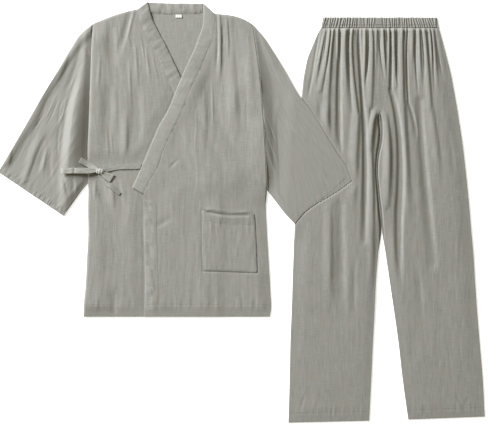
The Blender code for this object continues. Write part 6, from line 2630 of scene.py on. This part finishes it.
@dataclass
class Studio:
    """A pale floor, soft light from the viewer's left with a weak fill, and the camera above."""

    floor_size: float = 9.0
    floor_drop: float = 0.0006
    camera_height: float = 3.2
    camera_reach: float = 100.0
    view_middle: Pair = (0.006, -0.0005)
    view_width: float = 1.1712
    sensor: float = 36.0
    key_power: float = 1015.0
    key_size: float = 3.3
    key_distance: float = 6.8
    key_elevation: float = 27.0
    key_azimuth: float = 141.0
    key_colour: str = "#f4f8ff"
    fill: float = 0.23
    fill_colour: str = "#fff7d6"

    def floor(self, paint: bpy.types.Material) -> None:
        """The floor, just under the set.

        Args:
            paint: Its finish.
        """
        half = self.floor_size / 2
        corners = np.array([[-half, -half], [half, -half], [half, half], [-half, half]])
        points = np.column_stack([corners, np.full(4, -self.floor_drop)])
        mesh = bpy.data.meshes.new("studio_floor")
        mesh.from_pydata(points.tolist(), [], [(0, 1, 2, 3)])
        mesh.materials.append(paint)
        floor = bpy.data.objects.new("studio_floor", mesh)
        bpy.context.scene.collection.objects.link(floor)

    def light(self) -> None:
        """A low soft key light, and an even pale surround."""
        lamp = bpy.data.lights.new("key_light", "AREA")
        lamp.energy, lamp.size = self.key_power, self.key_size
        lamp.color = linear(self.key_colour)[:3]
        key = bpy.data.objects.new("key_light", lamp)
        rise, turn = math.radians(self.key_elevation), math.radians(self.key_azimuth)
        away = Vector((math.cos(rise) * math.cos(turn), math.cos(rise) * math.sin(turn),
                       math.sin(rise)))
        key.location = self.key_distance * away
        key.rotation_euler = away.to_track_quat("Z", "Y").to_euler()
        bpy.context.scene.collection.objects.link(key)
        world = bpy.data.worlds.new("pale_surround")
        world.use_nodes = True
        surround = world.node_tree.nodes["Background"]
        surround.inputs["Color"].default_value = linear(self.fill_colour)
        surround.inputs["Strength"].default_value = self.fill
        bpy.context.scene.world = world

    def camera(self) -> None:
        """The camera, straight above, its view as wide as the photograph shows."""
        lens = bpy.data.cameras.new("camera_above")
        lens.sensor_width = self.sensor
        lens.lens = self.sensor * self.camera_height / self.view_width
        lens.clip_end = self.camera_reach
        above = bpy.data.objects.new("camera_above", lens)
        above.location = (*self.view_middle, self.camera_height)
        bpy.context.scene.collection.objects.link(above)
        bpy.context.scene.camera = above

    def build(self) -> None:
        """Sets the whole studio up."""
        self.floor(PaintedFloor().material())
        self.light()
        self.camera()
        bpy.context.scene.view_settings.view_transform = "Standard"


def main() -> None:
    """Builds the studio, the jacket, its bow and the trousers, in that order."""
    logging.basicConfig(level=logging.INFO, format="%(message)s")
    Studio().build()
    gauze = WashedGauze().material()
    thread = TwistedThread().material()
    Jacket().build(gauze, thread, WovenLabel().material())
    # A paler copy of the gauze for the bow: painted light on the tapes that catch the light.
    pressed = WashedGauze(
        name="tie_gauze_painted_light", shade="#9c9b92", ground="#a9a8a0", bright="#b6b5af",
        warm="#aaa59b",
    )
    Bow().build(pressed.material(), gauze)
    Trousers().build(gauze, thread)


if __name__ == "__main__":
    main()
